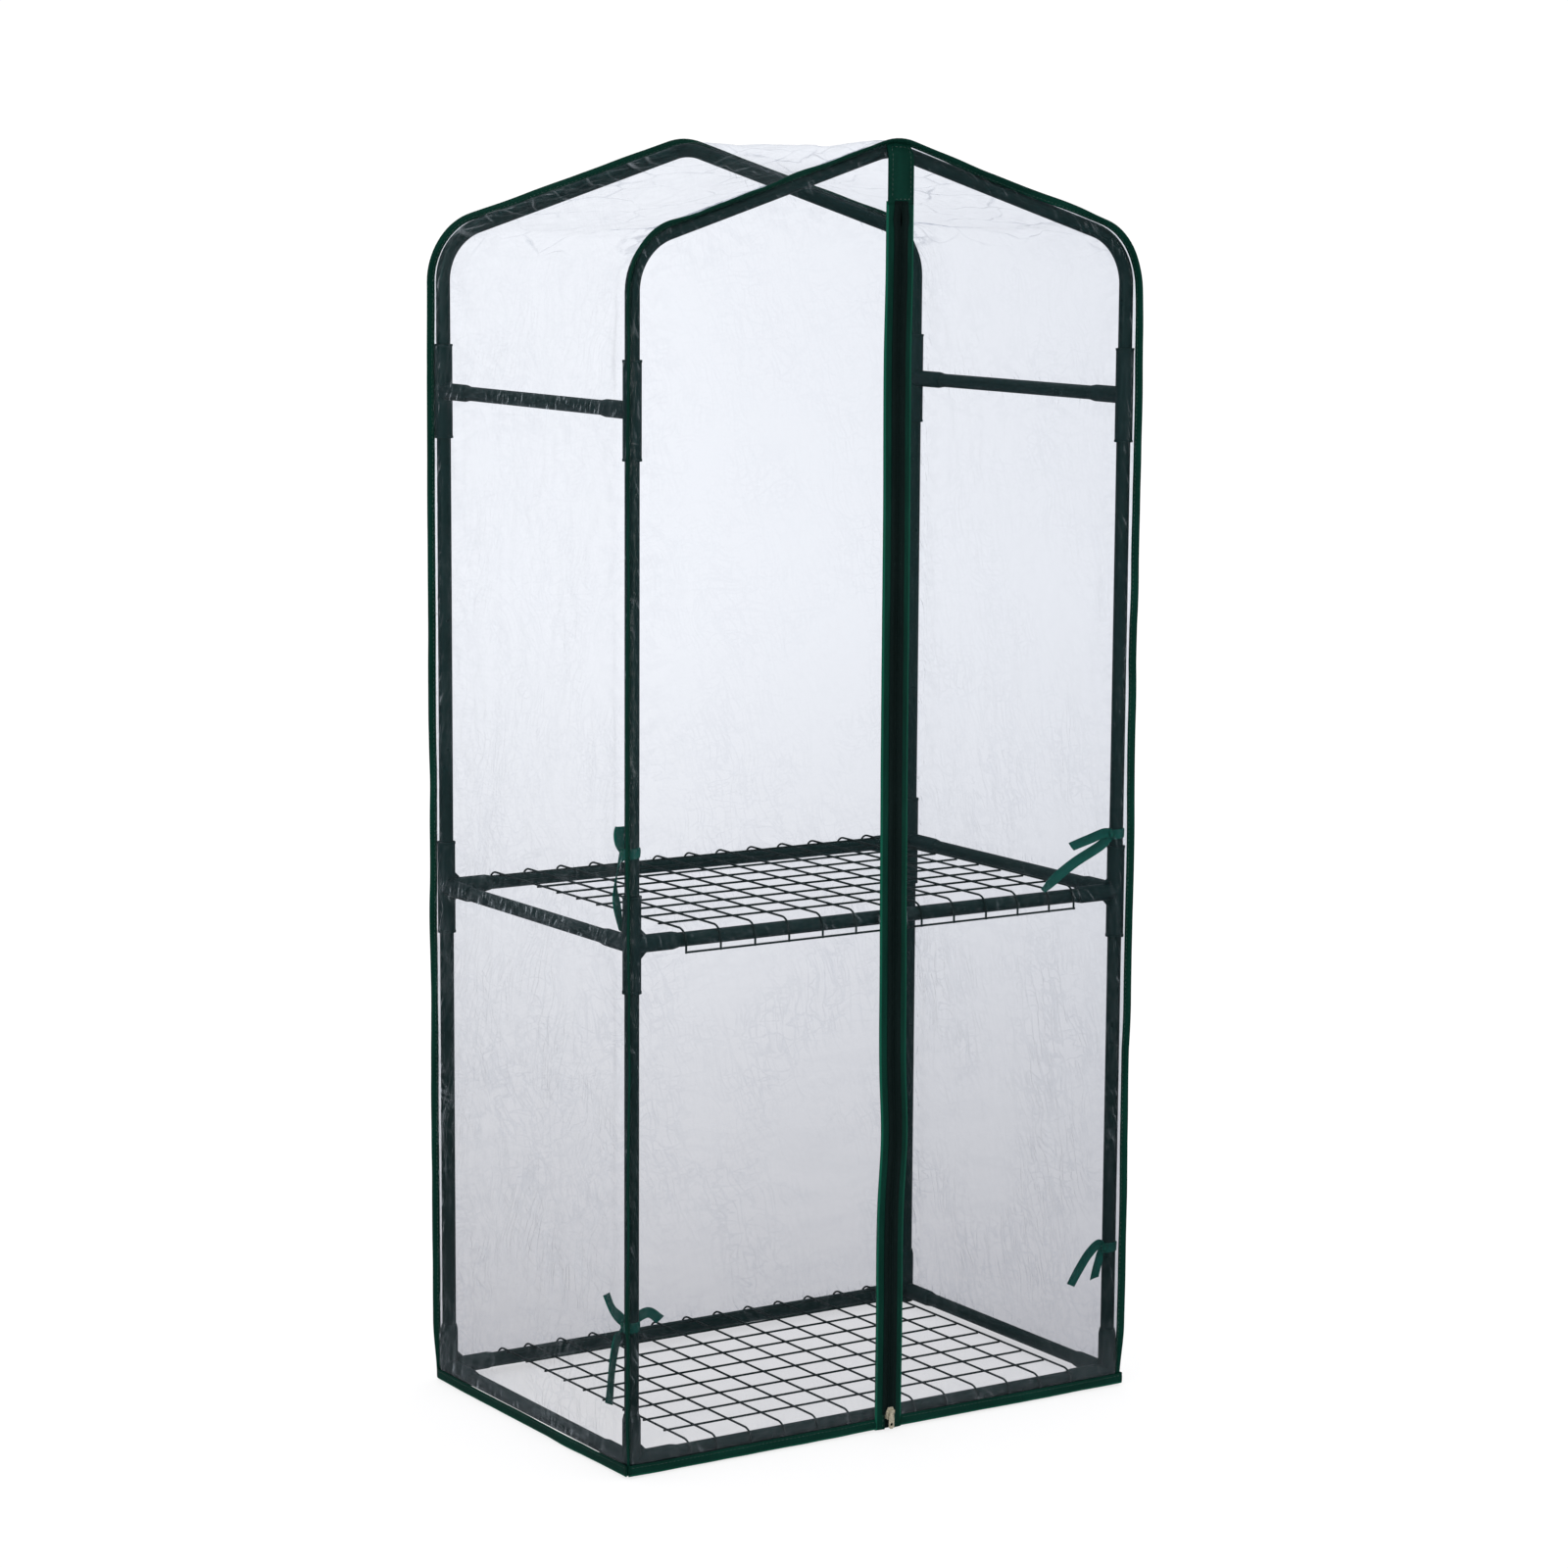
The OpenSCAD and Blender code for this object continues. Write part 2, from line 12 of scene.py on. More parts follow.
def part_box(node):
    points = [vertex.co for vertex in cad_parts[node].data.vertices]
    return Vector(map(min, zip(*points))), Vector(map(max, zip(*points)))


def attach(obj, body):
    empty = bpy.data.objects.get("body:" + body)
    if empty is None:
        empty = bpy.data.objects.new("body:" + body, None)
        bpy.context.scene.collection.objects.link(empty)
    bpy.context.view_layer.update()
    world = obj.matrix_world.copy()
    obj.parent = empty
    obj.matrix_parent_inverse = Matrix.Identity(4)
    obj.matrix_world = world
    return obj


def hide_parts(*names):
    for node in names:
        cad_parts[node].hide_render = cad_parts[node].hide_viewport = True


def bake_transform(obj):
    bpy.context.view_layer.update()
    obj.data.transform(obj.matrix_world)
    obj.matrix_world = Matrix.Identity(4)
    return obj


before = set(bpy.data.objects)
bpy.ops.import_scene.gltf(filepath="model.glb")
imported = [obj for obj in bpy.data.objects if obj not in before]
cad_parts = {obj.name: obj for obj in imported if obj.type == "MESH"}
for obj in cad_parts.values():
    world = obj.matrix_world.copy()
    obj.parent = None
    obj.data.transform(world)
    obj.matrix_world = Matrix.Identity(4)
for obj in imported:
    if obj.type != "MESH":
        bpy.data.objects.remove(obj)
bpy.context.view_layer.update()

# ---------- sizes read from the frame ----------


def least(node):
    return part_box(node)[0]


def most(node):
    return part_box(node)[1]


def middle(node):
    return (least(node) + most(node)) / 2


POST_X = middle("lower_post_front_right").x
POST_Y = -middle("lower_post_front_right").y
TUBE_R = (most("lower_post_front_right").x - least("lower_post_front_right").x) / 2
LOW_RAIL_Z = middle("bottom_rail_front").z
MID_RAIL_Z = middle("mid_rail_front").z
TOP_RAIL_Z = middle("upper_rail_left").z
HOOP_TOP = most("front_hoop").z - TUBE_R
FILM_OUT = most("cover_wrap_film").x - POST_X - 0.0002
FRONT_Y = -middle("left_flap_film").y
FLAP_HINGE_X = most("right_flap_film").x
FILM_FOOT = least("left_flap_film").z
HEM_LOW = least("hem_binding").z
HEM_TOP = most("hem_binding").z
HEM_H = HEM_TOP - HEM_LOW
ZIP_Y = -middle("left_zip_tape").y
ZIP_BINDING_Y = -middle("left_zip_binding").y
ZIP_X = (least("left_zip_binding").x + most("right_zip_binding").x) / 2
ZIP_HALF = least("right_zip_binding").x - ZIP_X
BAND_HALF = most("right_zip_binding").x - ZIP_X
COIL_FOOT = least("left_zip_tape").z
PATCH_Z = least("zip_top_patch").z

# The hoop's bends, which its box doesn't show
GABLE_RISE = 0.1035
EAVE_BEND = 0.065
APEX_BEND = 0.060
SLOPE = math.atan2(GABLE_RISE, POST_X)
EAVE_TURN = math.pi / 2 - SLOPE
APEX_CENTRE_Z = HOOP_TOP - APEX_BEND
EAVE_Z = APEX_CENTRE_Z + APEX_BEND / math.cos(SLOPE) - GABLE_RISE
EAVE_START = EAVE_Z - EAVE_BEND * math.tan(EAVE_TURN / 2)

RIGHT, BACK, UP = np.eye(3)

# Soft pieces
FILM_STEP = 0.012
SEAM_W = 0.0090
SEAM_T = 0.0026
SEAM_TIGHT = 0.0044
ROOF_TIGHT = {-1: 0.0060, 1: 0.0062}  # front and back
ROOF_DROP = 0.0040
SEAM_REACH = 0.010
HEM_T = 0.0022
COIL_R = 0.00125
COIL_PITCH = 0.0017
TAPE_T = 0.0008
TAPE_GAP = 0.00003
TUCKED_Y = 0.0016 - FRONT_Y
PARTING = 0.0013
PARTING_REACH = 0.0075
DIVIDER_UP = 0.0026
ZIP_TUCK = 0.004
RIBBON_W = 0.0115
RIBBON_T = 0.0007
MOST_SLID = 0.012
SIM_FRAMES = 22
CLOTH = {
    "quality": 6,
    "mass": 0.02,
    "tension_stiffness": 18,
    "compression_stiffness": 18,
    "shear_stiffness": 8,
    "bending_stiffness": 0.05,
    "tension_damping": 12,
    "compression_damping": 12,
    "shrink_min": 0.0,
}
SHELF_LIFT = 0.100
ZIP_TRAVEL = 1.340
# lighter green painted along a wide tape's fold: a painted highlight
PAINTED_FOLD_HIGHLIGHT_GREEN = (0.006, 0.125, 0.072, 1)
SHEEN_TINT = (0.45, 0.95, 0.85, 1)
FILM_TOP_TINT = (0.936, 0.950, 0.980, 1)
# film tint at its foot: darker, a painted shade of the shaded floor seen through it
FILM_FOOT_PAINTED_SHADE_TINT = (0.735, 0.736, 0.756, 1)

# ---------- numbers that look like chance, but are the same on each run ----------


def soft_noise(u, v, seed):
    """Smooth field between -1 and 1, with one random value for each unit of u and v."""
    size = 128
    lattice = np.random.default_rng(seed).uniform(-1, 1, (size, size))
    u, v = np.broadcast_arrays(np.asarray(u, float), np.asarray(v, float))
    cell_u, cell_v = np.floor(u).astype(int), np.floor(v).astype(int)
    part_u, part_v = u - cell_u, v - cell_v
    part_u = part_u ** 3 * (part_u * (part_u * 6 - 15) + 10)
    part_v = part_v ** 3 * (part_v * (part_v * 6 - 15) + 10)
    left, right = cell_u % size, (cell_u + 1) % size
    low, high = cell_v % size, (cell_v + 1) % size
    near = lattice[left, low] * (1 - part_u) + lattice[right, low] * part_u
    far = lattice[left, high] * (1 - part_u) + lattice[right, high] * part_u
    return near * (1 - part_v) + far * part_v


def ridges(u, v, seed):
    """Like soft_noise, but with sharp crests like creases in film."""
    return 1 - 2 * np.abs(soft_noise(u, v, seed))


def smooth(x):
    x = np.clip(x, 0, 1)
    return x * x * (3 - 2 * x)


# ---------- meshes ----------


def grid_faces(rows, cols, closed=False):
    """Quads of a grid of points. A closed grid joins its last column to its first."""
    i, j = np.meshgrid(np.arange(rows - 1), np.arange(cols if closed else cols - 1), indexing="ij")
    k = (j + 1) % cols
    return np.stack([i * cols + j, i * cols + k, (i + 1) * cols + k, (i + 1) * cols + j], -1).reshape(-1, 4)


class Shape:
    """Points and faces gathered for one mesh, with a strip coordinate on each point for its material."""

    def __init__(self):
        self.points = []
        self.strips = []
        self.faces = []
        self.kinds = []
        self.count = 0

    def add(self, points, faces, strips=None, kind=0):
        points = np.asarray(points, float).reshape(-1, 3)
        strips = points if strips is None else np.asarray(strips, float).reshape(-1, 3)
        self.points.append(points)
        self.strips.append(strips)
        self.faces += [[int(c) + self.count for c in face] for face in faces]
        self.kinds += [kind] * len(faces)
        self.count += len(points)

    def build(self, name, materials, smooth_faces=True):
        mesh = bpy.data.meshes.new(name)
        mesh.from_pydata(np.concatenate(self.points).tolist(), [], self.faces)
        strip = mesh.attributes.new("strip", "FLOAT_VECTOR", "POINT")
        strip.data.foreach_set("vector", np.concatenate(self.strips).astype(np.float32).ravel())
        for material in materials:
            mesh.materials.append(material)
        mesh.polygons.foreach_set("material_index", np.array(self.kinds, np.int32))
        mesh.polygons.foreach_set("use_smooth", np.full(len(self.faces), smooth_faces))
        mesh.update()
        piece = bpy.data.objects.new(name, mesh)
        bpy.context.scene.collection.objects.link(piece)
        return piece


def file_piece(piece, node_name, body=None):
    """Hides the CAD node that a piece stands for, and hangs the piece on its body if one is given."""
    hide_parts(node_name)
    if body:
        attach(piece, body)
    return piece


def stacked(*parts):
    """Points or directions from their coordinates. Each is an array or one number for all."""
    return np.stack(np.broadcast_arrays(*parts), -1)


def in_gable(flat, y):
    """Points or directions whose x and z come as pairs and whose y is given apart."""
    return stacked(flat[..., 0], y, flat[..., 1])


def unit(vectors):
    return vectors / np.maximum(np.linalg.norm(vectors, axis=-1, keepdims=True), 1e-12)


def lengths_along(path):
    return np.concatenate([[0], np.cumsum(np.linalg.norm(np.diff(path, axis=0), axis=1))])


def resample(path, step, *others):
    """The path with evenly spaced points, and other arrays read at the same places."""
    along = lengths_along(path)
    places = np.linspace(0, along[-1], max(2, int(round(along[-1] / step)) + 1))
    return [np.stack([np.interp(places, along, column) for column in a.T], 1) for a in (path, *others)]


def tape_section(width, thickness, stitch=0.28):
    """Closed section of a folded tape: thin at its open edge, pinched at the stitches, round at the fold."""
    half = thickness / 2
    beside = 0.08
    side = [(0, 0.55), (0.12, 0.75), (stitch - beside, 0.85), (stitch, 0.62), (stitch + beside, 0.88),
            (0.6, 1), (0.82, 1)]
    side = [(a * width, h * half) for a, h in side]
    fold = [(width - half + half * math.cos(t), half * math.sin(t)) for t in np.radians([60, 20, -20, -60])]
    return np.array(side + fold + [(a, -h) for a, h in reversed(side)])


def end_caps(rows, cols):
    """The two faces that close a stack of rings."""
    return [list(range(cols)), [(rows - 1) * cols + c for c in reversed(range(cols))]]


def sweep(shape, path, across, outward, section, kind=0):
    """Carries a closed section along a path. Its x runs along across and its y along outward."""
    across, outward = [np.broadcast_to(a, path.shape)[:, None] for a in (across, outward)]
    rings = path[:, None] + section[None, :, :1] * across + section[None, :, 1:] * outward
    rows, cols = len(path), len(section)
    faces = grid_faces(rows, cols, closed=True).tolist() + end_caps(rows, cols)
    shape.add(rings, faces, stacked(lengths_along(path)[:, None], *section.T), kind)


def stitches(shape, path, direction, outward, across_at, lift, kind=1):
    """A row of short raised stitches at a distance across a strip, on both of its faces."""
    pitch, long_half, wide_half, high = 0.0052, 0.0019, 0.0004, 0.00035
    direction, outward = [np.broadcast_to(a, path.shape) for a in (direction, outward)]
    centres, way, out = [a[1:-1] for a in resample(path + direction * across_at, pitch, direction, outward)]
    ahead = unit(np.gradient(centres, axis=0))
    corners = [(-1, 0, 0), (0, -1, 0), (1, 0, 0), (0, 1, 0), (0, 0, 1), (0, 0, -1)]
    faces = [(0, 1, 4), (1, 2, 4), (2, 3, 4), (3, 0, 4), (1, 0, 5), (2, 1, 5), (3, 2, 5), (0, 3, 5)]
    sizes = np.array(corners) * (long_half, wide_half, high)
    for face in (1, -1):
        base = centres + out * face * lift
        points = base[:, None] + sizes[None, :, :1] * ahead[:, None] + sizes[None, :, 1:2] * way[:, None]
        points = points + sizes[None, :, 2:] * out[:, None]
        all_faces = [[c + 6 * n for c in corner] for n in range(len(centres)) for corner in faces]
        shape.add(points, all_faces, kind=kind)


# ---------- materials ----------


def node(tree, kind, links=None, **settings):
    """Adds a shader node. links gives each input's value, or the output socket that feeds it."""
    made = tree.nodes.new("ShaderNode" + kind)
    for key, value in settings.items():
        setattr(made, key, value)
    for key, value in (links or {}).items():
        if isinstance(value, bpy.types.NodeSocket):
            tree.links.new(value, made.inputs[key])
        else:
            made.inputs[key].default_value = value
    return made


def blank_material(name):
    material = bpy.data.materials.new(name)
    material.use_nodes = True
    material.node_tree.nodes.clear()
    return material, material.node_tree


def finish_material(tree, shader):
    node(tree, "OutputMaterial", {"Surface": shader})


def finish_solid(tree, links):
    finish_material(tree, node(tree, "BsdfPrincipled", links).outputs[0])


def colour(red, green, blue):
    return (red, green, blue, 1)


def place(tree, kind="Object"):
    return node(tree, "TexCoord").outputs[kind]


def strip_place(tree):
    return node(tree, "Attribute", attribute_name="strip").outputs["Vector"]


def stretched(tree, vector, scale):
    return node(tree, "Mapping", {"Vector": vector, "Scale": scale}).outputs[0]


def noise(tree, vector, scale, detail=3.0, roughness=0.55):
    """Shader noise. Three scales stretch it, and one doesn't."""
    if isinstance(scale, tuple):
        vector, scale = stretched(tree, vector, scale), 1
    links = {"Vector": vector, "Scale": scale, "Detail": detail, "Roughness": roughness}
    return node(tree, "TexNoise", links).outputs["Fac"]


def remap(tree, value, low, high, to_low, to_high):
    links = {"Value": value, "From Min": low, "From Max": high, "To Min": to_low, "To Max": to_high}
    return node(tree, "MapRange", links).outputs["Result"]


def mixed_colour(tree, share, first, second):
    made = node(tree, "Mix", {0: share, 6: first, 7: second}, data_type="RGBA")
    return made.outputs[2]


def maths(tree, operation, first, second=0.0, third=0.0):
    return node(tree, "Math", {0: first, 1: second, 2: third}, operation=operation).outputs[0]


def times(tree, first, *others):
    for other in others:
        first = maths(tree, "MULTIPLY", first, other)
    return first


def bump(tree, height, distance, strength=1.0, under=None):
    links = {"Height": height, "Distance": distance, "Strength": strength}
    if under is not None:
        links["Normal"] = under
    return node(tree, "Bump", links).outputs[0]


def coated_material(name, dark, light, rough, grain, round_edges):
    """Painted tube, coated wire or moulded plastic: mottled colour, fine grain, and pale scuffs and dust."""
    material, tree = blank_material(name)
    here = place(tree)
    mottled = noise(tree, here, 38, 4)
    base = mixed_colour(tree, mottled, colour(*dark), colour(*light))
    scuff = remap(tree, noise(tree, here, (90, 90, 14), 6, 0.7), 0.63, 0.72, 0, 0.35)
    worn = mixed_colour(tree, scuff, base, colour(0.025, 0.05, 0.05))
    dust = remap(tree, noise(tree, here, 9, 5), 0.5, 0.85, 0, 0.14)
    dusty = mixed_colour(tree, dust, worn, colour(0.02, 0.04, 0.04))
    roughness = remap(tree, noise(tree, here, 120, 3), 0.3, 0.7, rough - 0.07, rough + 0.1)
    under = node(tree, "Bevel", {"Radius": round_edges}, samples=4).outputs[0] if round_edges else None
    peel = bump(tree, noise(tree, here, grain, 2), 0.00035, 0.35, under)
    links = {"Base Color": dusty, "Roughness": roughness, "Normal": peel, "Specular Tint": SHEEN_TINT}
    finish_solid(tree, links)
    return material


def tape_material(name, dark, light, thread_pitch, rough, sheen):
    """Woven tape. Fine ribs run across it and finer threads along it, with a soft sheen and worn patches, and
    on wide tapes a lighter green painted highlight along the fold.
    """
    material, tree = blank_material(name)
    strip = strip_place(tree)
    parts = node(tree, "SeparateXYZ", {"Vector": strip})
    along, across = [maths(tree, "SINE", times(tree, part, 2 * math.pi / thread_pitch))
                     for part in parts.outputs[:2]]
    weave = times(tree, along, across)
    patches = noise(tree, strip, (12, 60, 60), 4)
    base = mixed_colour(tree, remap(tree, patches, 0.3, 0.7, 0, 1), colour(*dark), colour(*light))
    threads = mixed_colour(tree, remap(tree, weave, -1, 1, 0, 0.3), base, colour(0.0006, 0.010, 0.007))
    lint = remap(tree, noise(tree, strip, (400, 900, 900), 2), 0.68, 0.78, 0, 0.3)
    dusty = mixed_colour(tree, lint, threads, colour(0.05, 0.12, 0.10))
    # painted highlight: near its fold, a wide tape turns lighter green, as if lit
    painted_fold_highlight = remap(tree, parts.outputs[1], 0.0096, 0.0106, 0, 0.6)
    dusty = mixed_colour(tree, painted_fold_highlight, dusty, PAINTED_FOLD_HIGHLIGHT_GREEN)
    puckers = bump(tree, noise(tree, strip, (110, 30, 30), 3), 0.0012, 0.6)
    surface = bump(tree, weave, 0.00012, 0.8, puckers)
    links = {
        "Base Color": dusty,
        "Roughness": remap(tree, patches, 0.3, 0.7, rough - 0.06, rough + 0.1),
        "Normal": surface,
        "Specular IOR Level": 0.15,
        "Specular Tint": SHEEN_TINT,
        "Sheen Weight": sheen,
        "Sheen Roughness": 0.4,
        "Sheen Tint": colour(*light),
    }
    finish_solid(tree, links)
    return material


def thread_material(name, base):
    material, tree = blank_material(name)
    twist = node(tree, "TexWave", {"Vector": place(tree), "Scale": 700, "Distortion": 2})
    shade = mixed_colour(tree, twist.outputs["Fac"], base, colour(0.02, 0.05, 0.04))
    normal = bump(tree, twist.outputs["Fac"], 0.0002, 0.5)
    links = {"Base Color": shade, "Roughness": 0.5, "Normal": normal, "Sheen Weight": 0.3}
    finish_solid(tree, links)
    return material


def metal_material(name):
    """Nickel-plated zinc: slightly yellow, tumbled rough, with dark wear in its hollows."""
    material, tree = blank_material(name)
    here = place(tree)
    tarnish = remap(tree, noise(tree, here, 420, 5), 0.4, 0.75, 0, 0.6)
    base = mixed_colour(tree, tarnish, colour(0.66, 0.60, 0.46), colour(0.22, 0.19, 0.14))
    roughness = remap(tree, noise(tree, here, 900, 3), 0.3, 0.7, 0.2, 0.42)
    under = node(tree, "Bevel", {"Radius": 0.0004}, samples=6).outputs[0]
    scratched = noise(tree, here, (900, 900, 5000), 3)
    links = {
        "Base Color": base,
        "Metallic": 0.45,
        "Roughness": roughness,
        "Normal": bump(tree, scratched, 0.0001, 0.3, under),
    }
    finish_solid(tree, links)
    return material


def hairlines(tree, vector, scale, width):
    """Thin wandering lines, like creases in film, where a soft noise passes its middle."""
    field = noise(tree, vector, scale, 2, 0.5)
    off = maths(tree, "ABSOLUTE", maths(tree, "SUBTRACT", field, 0.5))
    return remap(tree, off, 0.0, width, 1.0, 0.0)


def film_material(name):
    """Clear soft vinyl: nearly all light goes through, with creases that glint in its gloss and a faint milky
    haze; pale lines and dots of that haze along creases and near the bars are painted highlights.

    The strip coordinate gives the place on the sheet and, third, the distance to the nearest bar of the
    frame, where the film is pressed and puckers. Its tint darkens towards the floor with painted shade, and
    it has a little more milky haze at its foot; crease lines, folds, low ripples and its right side carry
    painted shade too.
    """
    material, tree = blank_material(name)
    strip = strip_place(tree)
    flat = stretched(tree, strip, (1, 1, 0))
    across, depth, height = node(tree, "SeparateXYZ", {"Vector": place(tree)}).outputs
    bar = node(tree, "SeparateXYZ", {"Vector": strip}).outputs[2]
    near_bar = remap(tree, bar, 0.005, 0.018, 1.0, 0.0)
    level = node(tree, "SeparateXYZ", {"Vector": node(tree, "NewGeometry").outputs["Normal"]}).outputs[2]
    roof = remap(tree, maths(tree, "ABSOLUTE", level), 0.35, 0.8, 0.1, 1.0)
    warp = node(tree, "TexNoise", {"Vector": flat, "Scale": 9.0, "Detail": 2.0}).outputs["Color"]
    bent = node(tree, "Mix", {0: 0.06, 4: flat, 5: warp}, data_type="VECTOR").outputs[1]
    turned = node(tree, "Mapping", {"Vector": bent, "Rotation": (0, 0, 0.3)}).outputs[0]
    long_lines = hairlines(tree, turned, (15, 75, 0), 0.045)
    short_lines = hairlines(tree, bent, (60, 24, 0), 0.035)
    celled = {"Vector": stretched(tree, bent, (26, 9, 0)), "Scale": 1.0}
    cells = node(tree, "TexVoronoi", celled, feature="DISTANCE_TO_EDGE")
    seen = remap(tree, node(tree, "LayerWeight", {"Blend": 0.5}).outputs["Facing"], 0.75, 0.97, 1, 0.1)
    broken = remap(tree, noise(tree, flat, 24, 2), 0.40, 0.55, 0.35, 1.3)
    cracks = remap(tree, cells.outputs["Distance"], 0, 0.04, 3.0, 0)
    crumples = times(tree, cracks, roof, seen, broken)
    calm_top = remap(tree, height, 0.35, 0.9, 1.0, 0.35)
    lines = times(tree, maths(tree, "MAXIMUM", long_lines, short_lines), calm_top)
    patches = remap(tree, noise(tree, flat, 7, 4), 0.40, 0.62, 0.1, 1)
    calm_front = remap(tree, depth, -0.215, -0.175, 0.28, 1.0)
    strength = times(tree, maths(tree, "MULTIPLY_ADD", near_bar, 0.35, patches), calm_front)
    creased = times(tree, maths(tree, "MAXIMUM", lines, crumples), strength)
    folds = remap(tree, noise(tree, bent, (70, 32, 0), 4, 0.65), 0.47, 0.56, 0.0, 1)
    # folds bunched near the roof's bars and soft ripples low on the sheets darken the tint below as painted
    # shade
    bunched = times(tree, remap(tree, bar, 0.02, 0.06, 1, 0), roof, folds)
    ripples = remap(tree, noise(tree, bent, (60, 6, 0), 3), 0.45, 0.7, 0, 1)
    # painted highlights: pale lines along creases and pale dots near the bars, made of the milky layer, stand
    # in for lamps glinting on the film
    fine = noise(tree, turned, (24, 210, 0), 4, 0.6)
    painted_highlight_streaks = times(tree, remap(tree, fine, 0.52, 0.70, 0, 1), strength, calm_top)
    painted_glint_specks = remap(tree, noise(tree, turned, (45, 230, 0), 3), 0.60, 0.66, 0, 1)
    painted_glints = times(tree, painted_glint_specks, near_bar, calm_front)
    foot = remap(tree, height, 0.025, 0.085, 0.022, 0.0)

    # painted shade: the clear tint darkens from the top of the cover towards its foot
    low = maths(tree, "POWER", remap(tree, height, 0.08, 0.95, 1.0, 0.0), 1.3)
    tint = mixed_colour(tree, low, FILM_TOP_TINT, FILM_FOOT_PAINTED_SHADE_TINT)
    ripples = times(tree, ripples, remap(tree, height, 0.3, 0.6, 0.05, 0.0))
    # painted shade: crease lines darken the tint, and so does a gradient towards the cover's right side (+X)
    shade = maths(tree, "MULTIPLY_ADD", creased, 0.15, remap(tree, across, -0.05, 0.33, 0.0, 0.11))
    shade = maths(tree, "ADD", maths(tree, "MULTIPLY_ADD", bunched, 0.5, shade), ripples)
    # painted shade: the clear tint is pulled towards this dim blue-grey
    tint = mixed_colour(tree, shade, tint, colour(0.42, 0.44, 0.50))
    # share of the milky layer: a faint haze everywhere and more at the foot, plus painted highlights on
    # creases and near the bars
    haze_and_painted_glint_share = maths(tree, "MULTIPLY_ADD", creased, 0.05, maths(tree, "MULTIPLY_ADD", painted_highlight_streaks, 0.09, foot))
    haze_and_painted_glint_share = maths(tree, "ADD", maths(tree, "MULTIPLY_ADD", painted_glints, 0.26, haze_and_painted_glint_share), 0.002)
    soft = bump(tree, noise(tree, turned, (14, 60, 0), 3), 0.0015, 0.3)
    normal = bump(tree, creased, 0.0012, 0.6, soft)
    clear = node(tree, "BsdfTransparent", {"Color": tint}).outputs[0]
    milky = {"Base Color": colour(0.72, 0.80, 0.88), "Roughness": 0.4, "Normal": normal}
    milk = node(tree, "BsdfPrincipled", milky).outputs[0]
    veil = node(tree, "MixShader", {0: haze_and_painted_glint_share, 1: clear, 2: milk}).outputs[0]
    glossy = {"Color": colour(1, 1, 1), "Roughness": 0.1, "Normal": normal}
    shine = node(tree, "BsdfGlossy", glossy).outputs[0]
    facing = node(tree, "LayerWeight", {"Blend": 0.5, "Normal": normal}).outputs["Facing"]
    mirrored = remap(tree, maths(tree, "POWER", facing, 4.5), 0, 1, 0.015, 0.45)
    mirrored = times(tree, mirrored, remap(tree, roof, 0.1, 1.0, 1.0, 0.3))
    finish_material(tree, node(tree, "MixShader", {0: mirrored, 1: veil, 2: shine}).outputs[0])
    return material


# ---------- the gable's outline ----------


def gable_path(out, foot):
    """Points along the hoop at a distance outside its centreline, from the left foot over to the right foot.

    Gives x and z of each point and the same of its outward direction, in even steps of about 2 mm.
    """
    eave = np.linspace(0, EAVE_TURN, 60)
    apex = np.linspace(EAVE_TURN, math.pi / 2, 24)
    x = np.concatenate([[POST_X + out], POST_X - EAVE_BEND + (EAVE_BEND + out) * np.cos(eave),
                        (APEX_BEND + out) * np.cos(apex)])
    z = np.concatenate([[foot], EAVE_START + (EAVE_BEND + out) * np.sin(eave),
                        APEX_CENTRE_Z + (APEX_BEND + out) * np.sin(apex)])
    nx = np.concatenate([[1], np.cos(eave), np.cos(apex)])
    nz = np.concatenate([[0], np.sin(eave), np.sin(apex)])
    right = stacked(x, z), stacked(nx, nz)
    left = [a * (-1, 1) for a in right]
    points, outs = [np.concatenate([l[:-1], r[::-1]]) for l, r in zip(left, right)]
    points, outs = resample(points, 0.002, outs)
    return points, unit(outs)


SEAM_POINTS, SEAM_OUTS = gable_path(FILM_OUT, FILM_FOOT)
SEAM_LENGTHS = lengths_along(SEAM_POINTS)
SEAM_TOTAL = SEAM_LENGTHS[-1]
EAVE_PLACE = 1.2  # along the seam from either foot, where the roof begins


def nearest_on_seam(x, z):
    """For points in a gable's plane: place along the seam, distance to it and its outward direction."""
    flat = stacked(np.ravel(x), np.ravel(z))
    best, found = np.full(len(flat), 1e9), np.zeros(len(flat), int)
    for start in range(0, len(flat), 4000):
        part = flat[start:start + 4000]
        gaps = ((part[:, None] - SEAM_POINTS[None]) ** 2).sum(-1)
        found[start:start + 4000] = gaps.argmin(1)
        best[start:start + 4000] = np.sqrt(gaps.min(1))
    shape = np.shape(x)
    return SEAM_LENGTHS[found].reshape(shape), best.reshape(shape), SEAM_OUTS[found].reshape(shape + (2,))


def between(s, total, start, fade):
    """1 along the middle of a path, and 0 up to a start and beyond the same distance from its end."""
    return smooth((s - start) / fade) * smooth((total - start - s) / fade)


def seam_wave(s, sy):
    """How far a gable seam stands off its straight line, outwards and sideways, at a place along it."""
    seed = 11 if sy < 0 else 23
    roof = between(s, SEAM_TOTAL, EAVE_PLACE - 0.01, 0.09)
    ends = between(s, SEAM_TOTAL, 0, 0.12)
    long_wave = soft_noise(s / 0.13, 0.5, seed) + 0.45 * soft_noise(s / 0.055, 3.5, seed)
    lifted = (0.0008 + 0.0008 * roof) * np.maximum(0.3 + long_wave, 0)
    side = 0.0008 * soft_noise(s / 0.1, 7.5, seed) * ends
    tight = SEAM_TIGHT + (ROOF_TIGHT[sy] - SEAM_TIGHT) * roof
    return lifted * ends - tight, side


